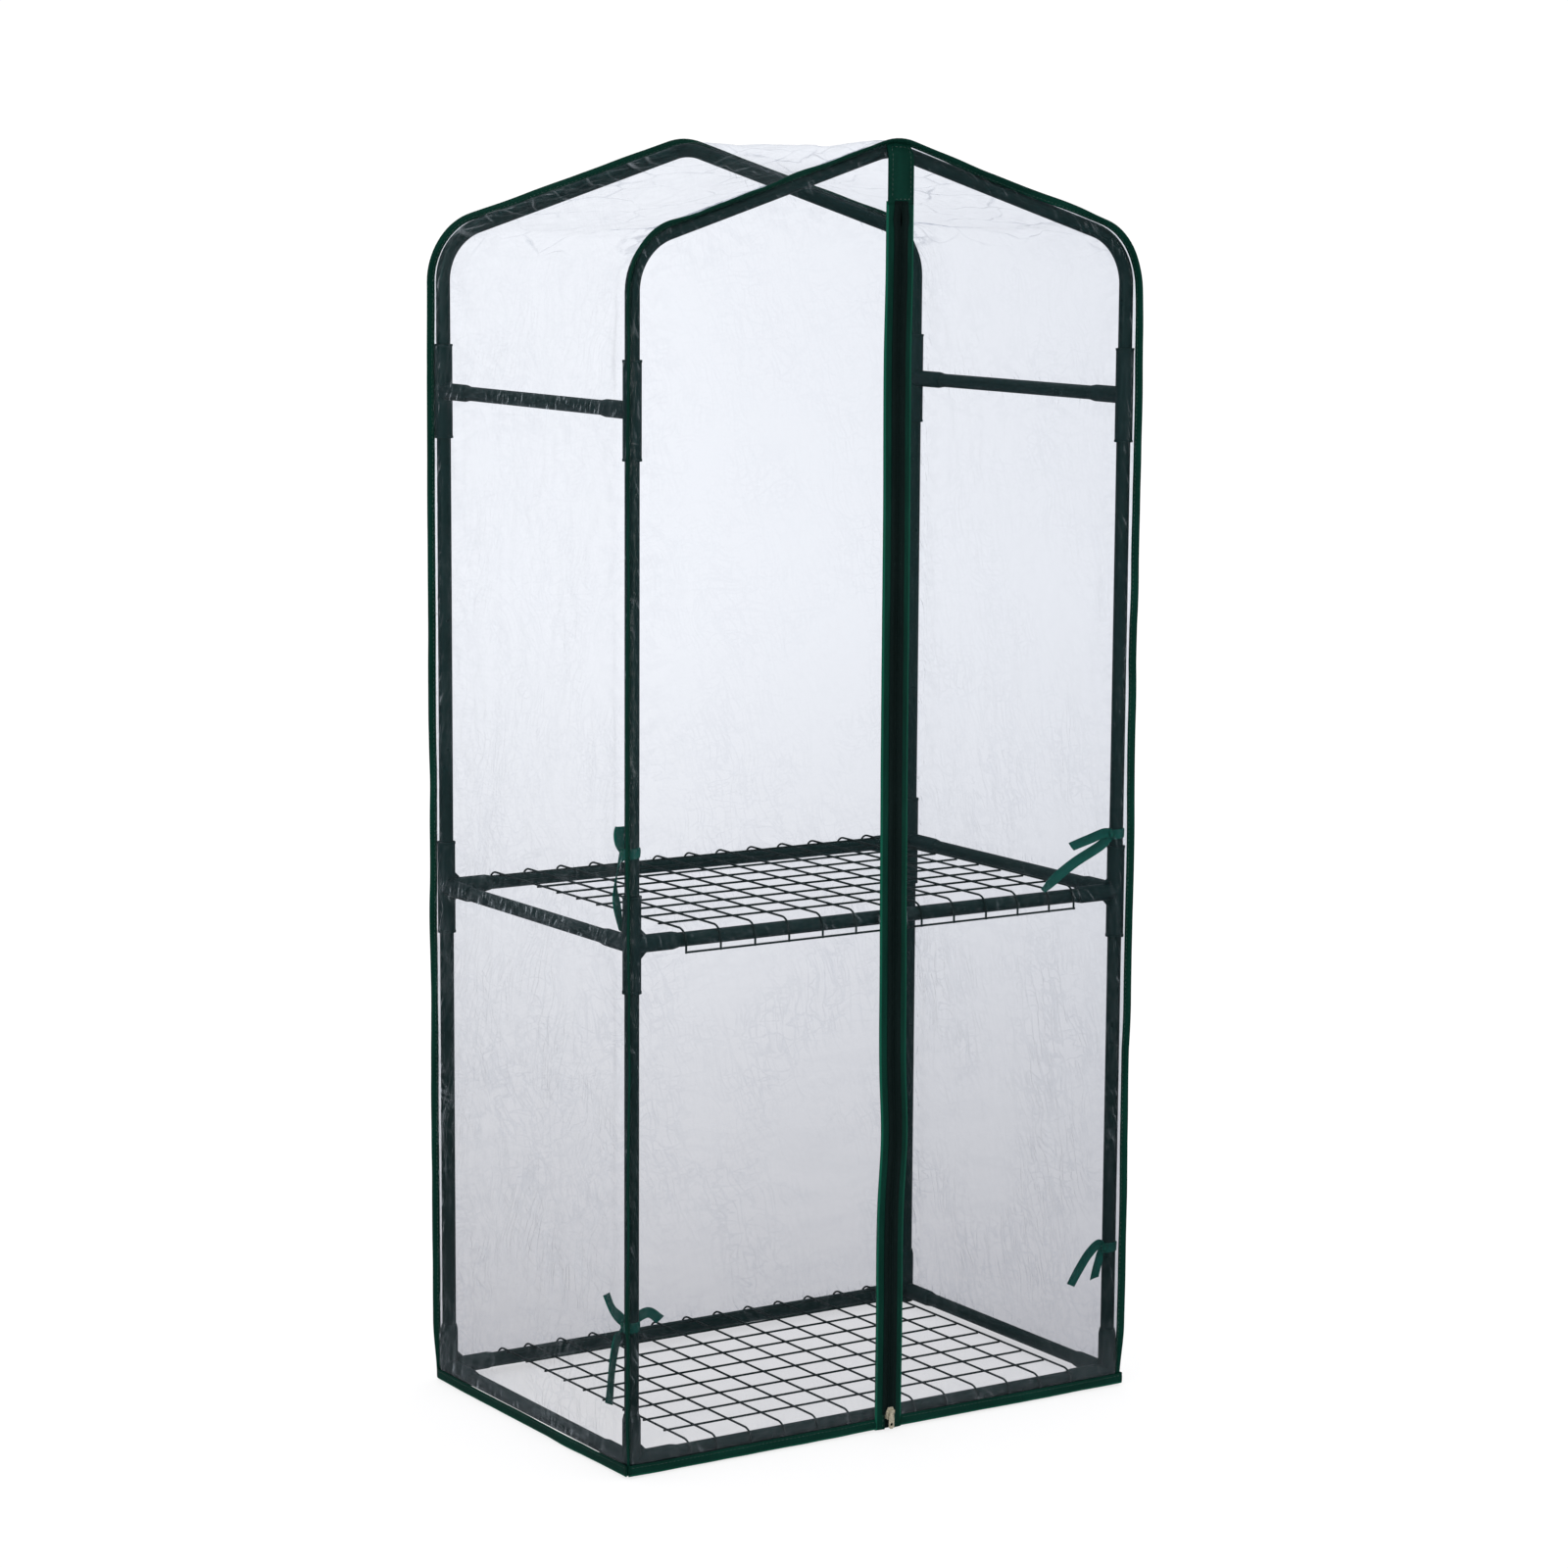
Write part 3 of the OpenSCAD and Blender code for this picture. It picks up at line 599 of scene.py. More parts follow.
def zip_sway(z):
    """How far the zip wanders sideways and outwards at a height. It is straight where the slider rests."""
    held = smooth((z - 0.04) / 0.2) * smooth((PATCH_Z - 0.03 - z) / 0.15)
    kink = 0.0045 * np.exp(-((z - 0.34) / 0.06) ** 2)
    x = 0.0022 * soft_noise(z / 0.24, 0.5, 41) + kink
    y = 0.0016 * soft_noise(z / 0.16, 4.5, 41) + 0.001
    return x * held, y * held


def zip_part(z):
    """How far each half of the zip stands off its middle, to clear the slider's divider at its upper stop."""
    stop = least("zip_slider").z + DIVIDER_UP + ZIP_TRAVEL
    return PARTING * np.exp(-((z - stop) / PARTING_REACH) ** 4)


def upright_line(x, z):
    """A straight line up behind the zip, at the depth where its loose ends are tucked."""
    return stacked(x, TUCKED_Y, z)


# ---------- film ----------


def doubled(values):
    """A grid with a new row between each two, on a smooth curve through the old ones."""
    padded = np.concatenate([2 * values[:1] - values[1:2], values, 2 * values[-1:] - values[-2:-1]])
    halfway = (9 * (padded[1:-2] + padded[2:-1]) - padded[:-3] - padded[3:]) / 16
    out = np.empty((2 * len(values) - 1,) + values.shape[1:])
    out[0::2], out[1::2] = values, halfway
    return out


def finer(values):
    return doubled(doubled(values).swapaxes(0, 1)).swapaxes(0, 1)


def creases(u, v, seed):
    """Height of the film's folds and crumples at a place on it."""
    bent_u = u + 0.02 * soft_noise(u / 0.1, v / 0.1, seed + 1)
    bent_v = v + 0.02 * soft_noise(u / 0.1, v / 0.1, seed + 2)
    folds = 0.0013 * ridges(bent_u / 0.16, bent_v / 0.06, seed + 3)
    crumples = 0.0007 * ridges(bent_u / 0.045, bent_v / 0.035, seed + 4)
    return folds + crumples * (0.4 + 0.6 * smooth(0.5 + soft_noise(u / 0.2, v / 0.2, seed + 5)))


def simulated(points, pinned, growth):
    """Drapes a grid of film with Blender's cloth. Pinned points stay, and the rest grows and buckles."""
    rows, cols = points.shape[:2]
    shape = Shape()
    shape.add(points, grid_faces(rows, cols).tolist())
    sheet = shape.build("draping_sheet", [])
    pins = sheet.vertex_groups.new(name="pins")
    grows = sheet.vertex_groups.new(name="grows")
    pins.add(np.flatnonzero(pinned.ravel()).tolist(), 1.0, "REPLACE")
    top_growth = growth.max()
    for index, share in enumerate((growth / top_growth).ravel()):
        grows.add([index], float(share), "REPLACE")
    cloth = sheet.modifiers.new("drape", "CLOTH")
    settings = cloth.settings
    for key, value in CLOTH.items():
        setattr(settings, key, value)
    settings.vertex_group_mass = pins.name
    settings.vertex_group_shrink = grows.name
    settings.shrink_max = -top_growth
    settings.effector_weights.gravity = 0.35
    cloth.collision_settings.use_collision = False
    cloth.point_cache.frame_start = 1
    cloth.point_cache.frame_end = SIM_FRAMES
    scene = bpy.context.scene
    for step in range(1, SIM_FRAMES + 1):
        scene.frame_set(step)
    settled = sheet.evaluated_get(bpy.context.evaluated_depsgraph_get()).to_mesh()
    result = np.empty(rows * cols * 3, np.float32)
    settled.vertices.foreach_get("co", result)
    bpy.data.objects.remove(sheet)
    scene.frame_set(1)
    return result.astype(float).reshape(points.shape)


def held_back(distance, half_width, tight, loose=0.03):
    """How far film may move inwards near a bar: tight over the bar, looser beside it."""
    return np.clip(tight + 0.7 * np.maximum(distance - half_width, 0), tight, loose)


def border(rows, cols):
    edge = np.zeros((rows, cols), bool)
    edge[[0, -1]] = True
    edge[:, [0, -1]] = True
    return edge


def make_film(name, node_name, base, outs, strips, growth, inward, outward, seed):
    """One sheet of film: a smooth base, draped, kept clear of the frame, and crumpled."""
    pinned = border(*base.shape[:2])
    free = (~pinned).astype(float)
    for _ in range(3):
        around = (free[:-2, 1:-1] + free[2:, 1:-1] + free[1:-1, :-2] + free[1:-1, 2:]) / 4
        free[1:-1, 1:-1] = np.minimum(free[1:-1, 1:-1], around)
    u, v = strips[..., 0], strips[..., 1]
    start = 0.0035 * soft_noise(u / 0.21, v / 0.17, seed) + creases(u, v, seed)
    rough = base + outs * (start * free)[..., None]
    rough = simulated(rough, pinned, growth)
    moved = rough - base
    height = (moved * outs).sum(-1)
    kept = np.clip(height, -inward, outward)
    slid = np.clip(moved - outs * height[..., None], -MOST_SLID, MOST_SLID)
    rough = base + slid + outs * kept[..., None]
    fine, fine_outs, fine_strips, fine_free = [finer(a) for a in (rough, outs, strips, free[..., None])]
    fine_u, fine_v = fine_strips[..., 0], fine_strips[..., 1]
    small = 0.00032 * ridges(fine_u / 0.02, fine_v / 0.016, seed + 9) * fine_free[..., 0]
    fine = fine + unit(fine_outs) * small[..., None]
    shape = Shape()
    shape.add(fine, grid_faces(*fine.shape[:2]).tolist(), fine_strips)
    return file_piece(shape.build(name, [FILM]), node_name)


def seam_pull(s, distance, sy):
    """The seam's waves as they reach into the film beside it: shares outwards and sideways."""
    out, side = seam_wave(s, sy)
    near = np.exp(-(distance / SEAM_REACH) ** 2)
    return out * near, side * near


def make_wrap():
    """The one sheet over the left side, the roof and the right side."""
    points, outs = resample(SEAM_POINTS, FILM_STEP, SEAM_OUTS)
    s = lengths_along(points)
    y = np.linspace(-FRONT_Y, FRONT_Y, int(round(2 * FRONT_Y / FILM_STEP)) + 1)
    grid_s, grid_y = np.meshgrid(s, y, indexing="ij")
    base = in_gable(points[:, None], grid_y)
    out = unit(in_gable(outs[:, None], 0 * grid_y))
    roof = between(grid_s, SEAM_TOTAL, EAVE_PLACE, 0.12)
    edge = np.exp(-((FRONT_Y - np.abs(grid_y)) / SEAM_REACH) ** 2)
    base -= out * (ROOF_DROP * roof * (1 - edge))[..., None]
    for sy in (-1, 1):
        away, along = seam_pull(grid_s, FRONT_Y - sy * grid_y, sy)
        base += out * away[..., None]
        base[..., 1] += sy * (away + along)
    z = base[..., 2]
    bar = np.abs(np.abs(grid_y) - POST_Y)
    inward = held_back(bar, 0.012, 0.0006)
    for rail_z in (LOW_RAIL_Z, MID_RAIL_Z, TOP_RAIL_Z):
        bar = np.minimum(bar, np.abs(z - rail_z) + roof)
        inward = np.minimum(inward, held_back(np.abs(z - rail_z) + roof, 0.012, 0.0022))
    inward = inward * (0.5 + 0.5 * roof)
    strips = stacked(grid_s, grid_y, bar)
    growth = 0.0025 + 0.0055 * roof
    outward = 0.008
    piece = make_film("cover_wrap_sheet", "cover_wrap_film", base, out, strips, growth, inward, outward, 100)
    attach(piece, "frame")


def gable_top(x, out):
    """Height of the gable's outline above a place across it."""
    points, _ = gable_path(out, FILM_FOOT)
    upper = points[points[:, 1] > EAVE_START]
    return np.interp(x, upper[:, 0], upper[:, 1])


def make_gable_sheet(name, node_name, sy, x_from, x_to, seed):
    """A flat sheet in the plane of a gable, with waves along the seam and the zip."""
    cols = int(round((x_to - x_from) / FILM_STEP)) + 1
    rows = int(round((HOOP_TOP - FILM_FOOT) / FILM_STEP)) + 1
    x = np.linspace(x_from, x_to, cols)
    share = np.linspace(0, 1, rows)
    top = gable_top(x, FILM_OUT)
    grid_x = np.repeat(x[None], rows, 0)
    grid_z = FILM_FOOT + share[:, None] * (top[None] - FILM_FOOT)
    base = stacked(grid_x, sy * FRONT_Y, grid_z)
    out = stacked(0 * grid_x, sy, 0)
    s, distance, seam_outs = nearest_on_seam(grid_x, grid_z)
    away, along = seam_pull(s, distance, sy)
    base[..., 0] += away * seam_outs[..., 0]
    base[..., 2] += away * seam_outs[..., 1]
    base[..., 1] += sy * (away + along)
    if sy < 0:
        sway_x, sway_y = zip_sway(grid_z)
        near = np.exp(-((grid_x - ZIP_X) / 0.07) ** 2)
        base[..., 0] += sway_x * near
        base[..., 1] -= sway_y * near
    bar = np.abs(distance - FILM_OUT)
    inward = held_back(distance, 0.026, 0.0008)
    for rail_z in (LOW_RAIL_Z, MID_RAIL_Z):
        bar = np.minimum(bar, np.abs(grid_z - rail_z))
        inward = np.minimum(inward, held_back(np.abs(grid_z - rail_z), 0.024, 0.0006))
        lifted = np.maximum(np.abs(grid_z - rail_z - SHELF_LIFT / 2) - SHELF_LIFT / 2, 0)
        inward = np.minimum(inward, held_back(lifted, 0.024, 0.0012))
    inward = inward * 0.5
    strips = stacked(grid_z + 10 * (seed % 7), grid_x, bar)
    growth = np.full_like(grid_x, 0.0022)
    outward = 0.006
    return make_film(name, node_name, base, out, strips, growth, inward, outward, seed)


def make_back():
    side = POST_X + FILM_OUT
    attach(make_gable_sheet("cover_back_sheet", "cover_back_film", 1, -side, side, 200), "frame")


# ---------- bindings ----------


def make_seam_binding(sy, name, node_name):
    """Folded tape that stands out of the corner all the way round a gable, wavy and a little twisted."""
    points, outs = gable_path(FILM_OUT, HEM_LOW + 0.001)
    points, outs = resample(points, 0.006, outs)
    s = lengths_along(points)
    away, along = seam_wave(s, sy)
    foot = 1 - smooth(np.minimum(s, s[-1] - s) / 0.07)
    path = in_gable(points + outs * away[:, None], sy * (FRONT_Y + away + along))
    outward = in_gable(outs, 0)
    side = sy * BACK
    slope_share = between(s, s[-1], EAVE_PLACE, 0.15)
    turn = 0.32 * soft_noise(s / 0.09, 1.5, 61 + sy) + 0.16 * soft_noise(s / 0.035, 6.5, 61 + sy)
    turn = turn * (1 + 0.6 * slope_share)
    upright = 0.38 * slope_share if sy > 0 else 0
    angle = (math.pi / 4 - upright + turn * (1 - foot))[:, None]
    across = outward * np.cos(angle) + side * np.sin(angle)
    facing = -outward * np.sin(angle) + side * np.cos(angle)
    path = path - across * (0.0016 + 0.0045 * foot)[:, None]
    shape = Shape()
    sweep(shape, path, across, facing, tape_section(SEAM_W, SEAM_T))
    stitches(shape, path, across, facing, 0.28 * SEAM_W, 0.32 * SEAM_T)
    file_piece(shape.build(name, [BINDING, THREAD]), node_name, "frame")


def hem_strip(name, line, outward, node_name, seed):
    """Folded tape along the bottom edge, standing up from the floor. line gives its x and y."""
    line, outward = resample(line, 0.006, outward)
    outward = unit(outward)
    along = lengths_along(line)
    ends = between(along, along[-1], 0, 0.05)
    wave = 0.0011 * soft_noise(along / 0.08, 0.5, seed) + 0.0005 * soft_noise(along / 0.025, 4.5, seed)
    wave = wave * ends
    dip = 0.0004 + 0.0006 * (1 + soft_noise(along / 0.12, 8.5, seed)) * ends
    path = stacked(*(line + outward * wave[:, None]).T, HEM_TOP - dip)
    lean = 0.12 * soft_noise(along / 0.06, 2.5, seed)[:, None]
    flat_out = stacked(*outward.T, 0)
    across = flat_out * np.sin(lean) - UP * np.cos(lean)
    facing = flat_out * np.cos(lean) + UP * np.sin(lean)
    height = HEM_H - 0.001
    shape = Shape()
    sweep(shape, path, across, facing, tape_section(height, HEM_T, stitch=0.22))
    stitches(shape, path, across, facing, 0.22 * height, 0.32 * HEM_T)
    return file_piece(shape.build(name, [BINDING, THREAD]), node_name)


def make_wrap_hem():
    """One length round the left side, the back and the right side, with small rounded corners."""
    corner = 0.010
    x, front, back = POST_X + FILM_OUT, -FRONT_Y + 0.0012, FRONT_Y
    turn = np.linspace(0, math.pi / 2, 8)
    bend = [(-x + corner - corner * math.cos(t), back - corner + corner * math.sin(t)) for t in turn]
    left = [(-x, front)] + bend
    left_out = [(-1, 0)] + [(-math.cos(t), math.sin(t)) for t in turn]
    line = np.array(left + [(-px, py) for px, py in reversed(left)])
    outward = np.array(left_out + [(-ox, oy) for ox, oy in reversed(left_out)])
    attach(hem_strip("wrap_hem_tape", line, outward, "hem_binding", 71), "frame")


def make_flap_hem(sx, side):
    x_from, x_to = sx * (FLAP_HINGE_X + 0.001), ZIP_X + sx * (BAND_HALF - 0.002)
    line = np.array([(x_from, -FRONT_Y), (x_to, -FRONT_Y)])
    outward = np.array([(0, -1.0), (0, -1.0)])
    return hem_strip(side + "_hem_tape", line, outward, side + "_flap_hem", 75 + sx)


# ---------- zip ----------


def make_zip_binding(sx, side):
    """Folded tape down one side of the zip. Its outer edge is a soft roll, its inner edge is stitched."""
    z = np.linspace(HEM_LOW, PATCH_Z + ZIP_TUCK, 230)
    sway_x, sway_y = zip_sway(z)
    roll = 0.0012 * soft_noise(z / 0.07, 0.5, 81 + sx) + 0.0006 * soft_noise(z / 0.022, 5.5, 81 + sx)
    path = stacked(ZIP_X + sx * (ZIP_HALF - 0.001) + sway_x, -ZIP_BINDING_Y - sway_y - 0.0003, z)
    lean = (0.16 + 14 * roll)[:, None]
    across = sx * RIGHT * np.cos(lean) + BACK * np.sin(lean)
    facing = sx * RIGHT * np.sin(lean) - BACK * np.cos(lean)
    width = BAND_HALF - ZIP_HALF + 0.001
    shape = Shape()
    sweep(shape, path, across, facing, tape_section(width, 0.0024, stitch=0.2))
    stitches(shape, path, across, facing, 0.2 * width, 0.0008)
    piece = shape.build(side + "_zip_edging", [BINDING, THREAD])
    return file_piece(piece, side + "_zip_binding")


def make_zip_tape(sx, side):
    """Half of the zip: a woven tape, and a nylon coil along its edge."""
    z = np.linspace(COIL_FOOT, PATCH_Z + ZIP_TUCK, 230)
    sway_x, sway_y = zip_sway(z)
    path = stacked(ZIP_X + sx * (TAPE_GAP + zip_part(z)) + sway_x, -ZIP_Y - sway_y, z)
    shape = Shape()
    width = ZIP_HALF + 0.0025
    rail = np.array([(0, 0.4), (0.9, 0.5), (1, 0), (0.9, -0.5), (0, -0.4)]) * (width, TAPE_T)
    sweep(shape, path, sx * RIGHT, -BACK, rail)
    tail_z = np.linspace(HEM_LOW, COIL_FOOT + 0.006, 6)
    sweep(shape, upright_line(ZIP_X + sx * TAPE_GAP, tail_z), sx * RIGHT, -BACK, rail)
    per_turn, sides = 9, 4
    count = int((PATCH_Z - COIL_FOOT - 0.002) / COIL_PITCH) * per_turn
    turn = np.arange(count) / per_turn
    coil_z = COIL_FOOT + 0.001 + COIL_PITCH * (turn + (0.5 if sx > 0 else 0))
    sway_x, sway_y = zip_sway(coil_z)
    angle = 2 * math.pi * turn * sx
    beside = COIL_R + 0.0001 + zip_part(coil_z)
    centre = stacked(ZIP_X + sx * beside + sway_x, -ZIP_Y - sway_y, coil_z)
    spoke = stacked(np.cos(angle), np.sin(angle), 0)
    helix = centre + COIL_R * 0.74 * spoke
    binormal = unit(np.cross(unit(np.gradient(helix, axis=0)), spoke))
    thread = 0.00034
    ring = np.array([(math.cos(t), math.sin(t)) for t in np.arange(sides) * 2 * math.pi / sides]) * thread
    sweep(shape, helix, spoke, binormal, ring, kind=1)
    piece = shape.build(side + "_zip_chain", [ZIP_TAPE, COIL])
    return file_piece(piece, side + "_zip_tape")


def make_top_patch():
    """Closed, slightly puffed patch over the zip's top, stitched round, with a dark tab behind the zip."""
    inset_x = 0.0012
    low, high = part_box("zip_top_patch")
    low.x, high.x = low.x + inset_x, high.x - inset_x
    cols, rows = 15, 25
    x = np.linspace(low.x, high.x, cols)
    share = np.linspace(0, 1, rows)[:, None]
    top = gable_top(x, FILM_OUT + 0.001)[None]
    grid_x = np.repeat(x[None], rows, 0)
    grid_z = low.z + share * (top - low.z)
    s, distance, seam_outs = nearest_on_seam(grid_x, grid_z)
    away, along = seam_pull(s, distance, -1)
    sway_x, _ = zip_sway(grid_z)
    wide = (grid_x - low.x) / (high.x - low.x)
    from_side = np.minimum(wide, 1 - wide) * (high.x - low.x)
    from_end = np.minimum(share, 1 - share) * (high.z - low.z)
    edge = np.minimum(from_side, from_end)
    lumps = 0.0006 * soft_noise(grid_x / 0.012, grid_z / 0.02, 91) * smooth(edge / 0.01)
    puff = 0.0008 * smooth(edge / 0.004) + lumps
    shape = Shape()
    at_x = grid_x + away * seam_outs[..., 0] + sway_x
    at_z = grid_z + away * seam_outs[..., 1]
    at_y = -FRONT_Y - (away + along)
    sheets = [stacked(at_x, at_y - lift, at_z) for lift in (0.0016 + puff, 0.0003)]
    strips = stacked(grid_z, grid_x - high.x, 0)
    front = grid_faces(rows, cols)
    shape.add(sheets[0], front.tolist(), strips)
    shape.add(sheets[1], front[:, ::-1].tolist(), strips)
    back_start = rows * cols
    ids = np.arange(back_start).reshape(rows, cols)
    rim = np.concatenate([ids[0], ids[1:, -1], ids[-1, -2::-1], ids[-2:0:-1, 0]]).tolist()
    shape.faces += [[a, a + back_start, b + back_start, b] for a, b in zip(rim, rim[1:] + rim[:1])]
    shape.kinds += [0] * len(rim)
    inset = 2
    loop = np.concatenate([sheets[0][inset:-inset, inset], sheets[0][-inset - 1, inset:-inset],
                           sheets[0][inset:-inset, -inset - 1][::-1], sheets[0][inset, inset:-inset][::-1]])
    sideways = unit(np.cross(np.gradient(loop, axis=0), -BACK))
    stitches(shape, loop, sideways, -BACK, 0, 0.0001)
    tab_size = (0.0065, 0.0003)
    tab = np.array([(-1, 1), (1, 1), (1, -1), (-1, -1)]) * tab_size
    tab_z = np.array([low.z - 0.026, low.z + 0.006])
    sweep(shape, upright_line(ZIP_X, tab_z), RIGHT, -BACK, tab, kind=2)
    piece = shape.build("zip_apex_patch", [BINDING, THREAD, ZIP_TAPE])
    file_piece(piece, "zip_top_patch", "frame")


# ---------- ribbons ----------


def curve_through(points, count):
    """A smooth curve through points, by Catmull and Rom."""
    points = np.asarray(points, float)
    padded = np.concatenate([2 * points[:1] - points[1:2], points, 2 * points[-1:] - points[-2:-1]])
    out = []
    for t in np.linspace(0, len(points) - 1 - 1e-9, count):
        i, f = int(t), t - int(t)
        a, b, c, d = padded[i:i + 4]
        out.append(0.5 * (2 * b + (c - a) * f + (2 * a - 5 * b + 4 * c - d) * f ** 2
                          + (3 * b - 3 * c + d - a) * f ** 3))
    return np.array(out)


def lane_strips(along, lanes):
    """Strip coordinates of a ribbon's rings, which run over its upper lanes and back under them."""
    return stacked(along[:, None], np.concatenate([lanes, lanes[::-1]]) * RIBBON_W / 2, 0)


def ribbon(shape, points, widths, cut):
    """A flat ribbon along a curve. widths are the directions of its width, and cut slants its end."""
    count = 44
    path = curve_through(points, count)
    way = curve_through(widths, count)
    ahead = unit(np.gradient(path, axis=0))
    across = unit(way - ahead * (way * ahead).sum(1, keepdims=True))
    facing = unit(np.cross(ahead, across))
    curl = 0.00035 * np.sin(np.linspace(0, 9, count))[:, None]
    lanes = np.linspace(-1, 1, 7)
    top, bottom = [], []
    for lane in lanes:
        bow = (1 - lane ** 2) * 0.0008
        slant = np.zeros((count, 1))
        slant[-3:, 0] = lane * cut * np.array([0.2, 0.6, 1.0])
        base = path + across * lane * RIBBON_W / 2 + facing * (bow + curl) + ahead * slant
        top.append(base + facing * RIBBON_T / 2)
        bottom.append(base - facing * RIBBON_T / 2)
    ring = np.stack(top + bottom[::-1], 1)
    rows, cols = ring.shape[:2]
    faces = grid_faces(rows, cols, closed=True).tolist() + end_caps(rows, cols)
    shape.add(ring, faces, lane_strips(lengths_along(path), lanes))


def band(shape, radius, height, drop, squeeze):
    """A ribbon once round the post, not quite level, gathered a little on the knot's side."""
    steps = 64
    angle = np.linspace(0, 2 * math.pi, steps, endpoint=False)
    level = height + drop * np.cos(angle)
    gather = 1 - squeeze * np.exp(-(np.minimum(angle, 2 * math.pi - angle) / 0.7) ** 2)
    lanes = np.linspace(-1, 1, 6)
    spoke = stacked(np.cos(angle), np.sin(angle), 0)
    rings = []
    for face, order in ((1, lanes), (0, lanes[::-1])):
        for lane in order:
            pucker = 0.0003 * np.sin(9 * angle + 3 * lane)
            reach = radius + face * RIBBON_T + (1 - lane ** 2) * 0.0002 + np.maximum(pucker, 0)
            rings.append(spoke * reach[:, None] + UP * (level + lane * gather * RIBBON_W / 2)[:, None])
    grid = np.stack(rings, 1)
    closed = np.concatenate([grid, grid[:1]])
    rows, cols = closed.shape[:2]
    faces = grid_faces(rows, cols, closed=True)
    faces = np.where(faces >= steps * cols, faces - steps * cols, faces)
    shape.add(grid, faces.tolist(), lane_strips(angle * radius, lanes))


def knot(shape, centre, size, out, up):
    """A pulled knot: a plump wrapped turn with folds, and a second turn across it."""
    out, up = unit(np.asarray(out, float)), unit(np.asarray(up, float))
    side = np.cross(out, up)
    rows, cols = 15, 22
    polar = np.linspace(0.12, math.pi - 0.12, rows)
    turn = np.linspace(0, 2 * math.pi, cols, endpoint=False)
    grid_p, grid_t = np.meshgrid(polar, turn, indexing="ij")
    for tilt, scale in ((0.35, 1.0), (-1.0, 0.86)):
        axis = unit(up * math.cos(tilt) + side * math.sin(tilt))
        cross = np.cross(out, axis)
        folds = 1 + 0.10 * np.cos(5 * grid_p + 2 * np.cos(grid_t)) + 0.06 * np.cos(3 * grid_t)
        across = np.sin(grid_p) ** 0.6 * folds * scale
        points = (np.asarray(centre) + axis * (np.cos(grid_p) * size[0] * scale)[..., None]
                  + cross * (across * np.cos(grid_t) * size[1])[..., None]
                  + out * (across * np.sin(grid_t) * size[2])[..., None])
        strips = stacked(grid_p * 0.006, grid_t * 0.004, 0)
        ends = [face[::-1] for face in end_caps(rows, cols)]
        shape.add(points, grid_faces(rows, cols, closed=True).tolist() + ends, strips)


def make_tie(name, node_name, sx, height, knot_turn, tails):
    """A ribbon tied round a front post. Its points are in mm, from the post's axis at the tie's height."""
    shape = Shape()
    radius = TUBE_R + 0.0003
    band(shape, radius, 0.0, 0.0012, 0.4)
    out = np.array([math.cos(knot_turn), math.sin(knot_turn), 0])
    knot(shape, out * (radius + 0.0028), (0.0046, 0.0036, 0.0030), out, (0, 0, 1.0))
    for points, widths, cut in tails:
        ribbon(shape, np.array(points) / 1000, widths, cut)
    place_at = np.array([sx * POST_X, -POST_Y, height])
    shape.points = [p + place_at for p in shape.points]
    file_piece(shape.build(name, [RIBBON]), node_name, "frame")


def make_ties():
    mid_left = MID_RAIL_Z + 0.100
    mid_right = MID_RAIL_Z + 0.068
    low = LOW_RAIL_Z + 0.151
    make_tie("tie_upper_left", "tie_mid_left", -1, mid_left, math.radians(115), [
        ([(-3, 9, 0), (-8, 11, 9), (-9, 12, 19), (-6, 13, 27)],
         [(0, 0, 1), (0.5, -0.2, 0.5), (0.8, -0.4, 0.1), (0.8, -0.4, 0)], 0.002),
        ([(-3, 9, -1), (-8, 14, -12), (-9, 19, -38), (-8, 18, -60), (-6, 12, -88)],
         [(0, 0, 1), (0.3, 0.6, 0.3), (0.5, 0.5, 0), (0.7, 0.2, 0), (0.5, 0.5, 0.2)], 0.003)])
    make_tie("tie_upper_right", "tie_mid_right", 1, mid_right, math.radians(198), [
        ([(-9, -3, 0), (-24, -7, 2), (-48, -9.5, -3), (-72, -10.5, -9)],
         [(0, 0, 1), (0, 0.1, 1), (0, 0, 1), (0, -0.1, 1)], 0.003),
        ([(-9, -3, -2), (-28, -7, -12), (-64, -9, -27), (-90, -9, -42), (-110, -9, -57)],
         [(0, 0, 1), (0, 0.3, 1), (0.3, 0.3, 0.7), (0.5, 0.1, 0.6), (0.5, -0.1, 0.6)], 0.002)])
    make_tie("tie_lower_left", "tie_low_left", -1, low, math.radians(110), [
        ([(-2, 9, 1), (-5, 17, 6), (-7, 30, 14), (-7, 42, 27)],
         [(0, 0, 1), (0.5, 0.3, 0.7), (0.78, 0.51, 0.2), (0.78, 0.51, 0.2)], 0.002),
        ([(-3, 9, -1), (-7, 15, -8), (-7.5, 23, -32), (-7.5, 31, -64), (-7, 37, -96)],
         [(0, 0, 1), (0.6, 0, 0.7), (0.95, 0.2, 0), (0.95, 0.35, 0.1), (0.95, 0.2, 0)], 0.003),
        ([(2, 9, 0), (14, 11, 5), (29, 12, 8), (43, 12, -2)],
         [(0, 0, 1), (0, 0.2, 1), (0.2, 0.2, 0.9), (0.3, 0, 1)], 0.002)])
    make_tie("tie_lower_right", "tie_low_right", 1, low, math.radians(196), [
        ([(-9, -2, 0), (-21, -6, 5), (-37, -8, -5), (-50, -9.5, -20), (-62, -10, -37)],
         [(0, 0, 1), (0.2, 0.1, 1), (-0.5, 0.1, 0.8), (-0.8, 0.1, 0.6), (-0.85, 0, 0.5)], 0.001),
        ([(-9, -2, -1), (-17, -6, -7), (-22, -8, -18), (-27, -9, -34)],
         [(0, 0, 1), (-0.6, 0, 0.7), (-0.95, 0, 0.3), (-1, 0, 0.3)], 0.003)])


# ---------- materials in use ----------

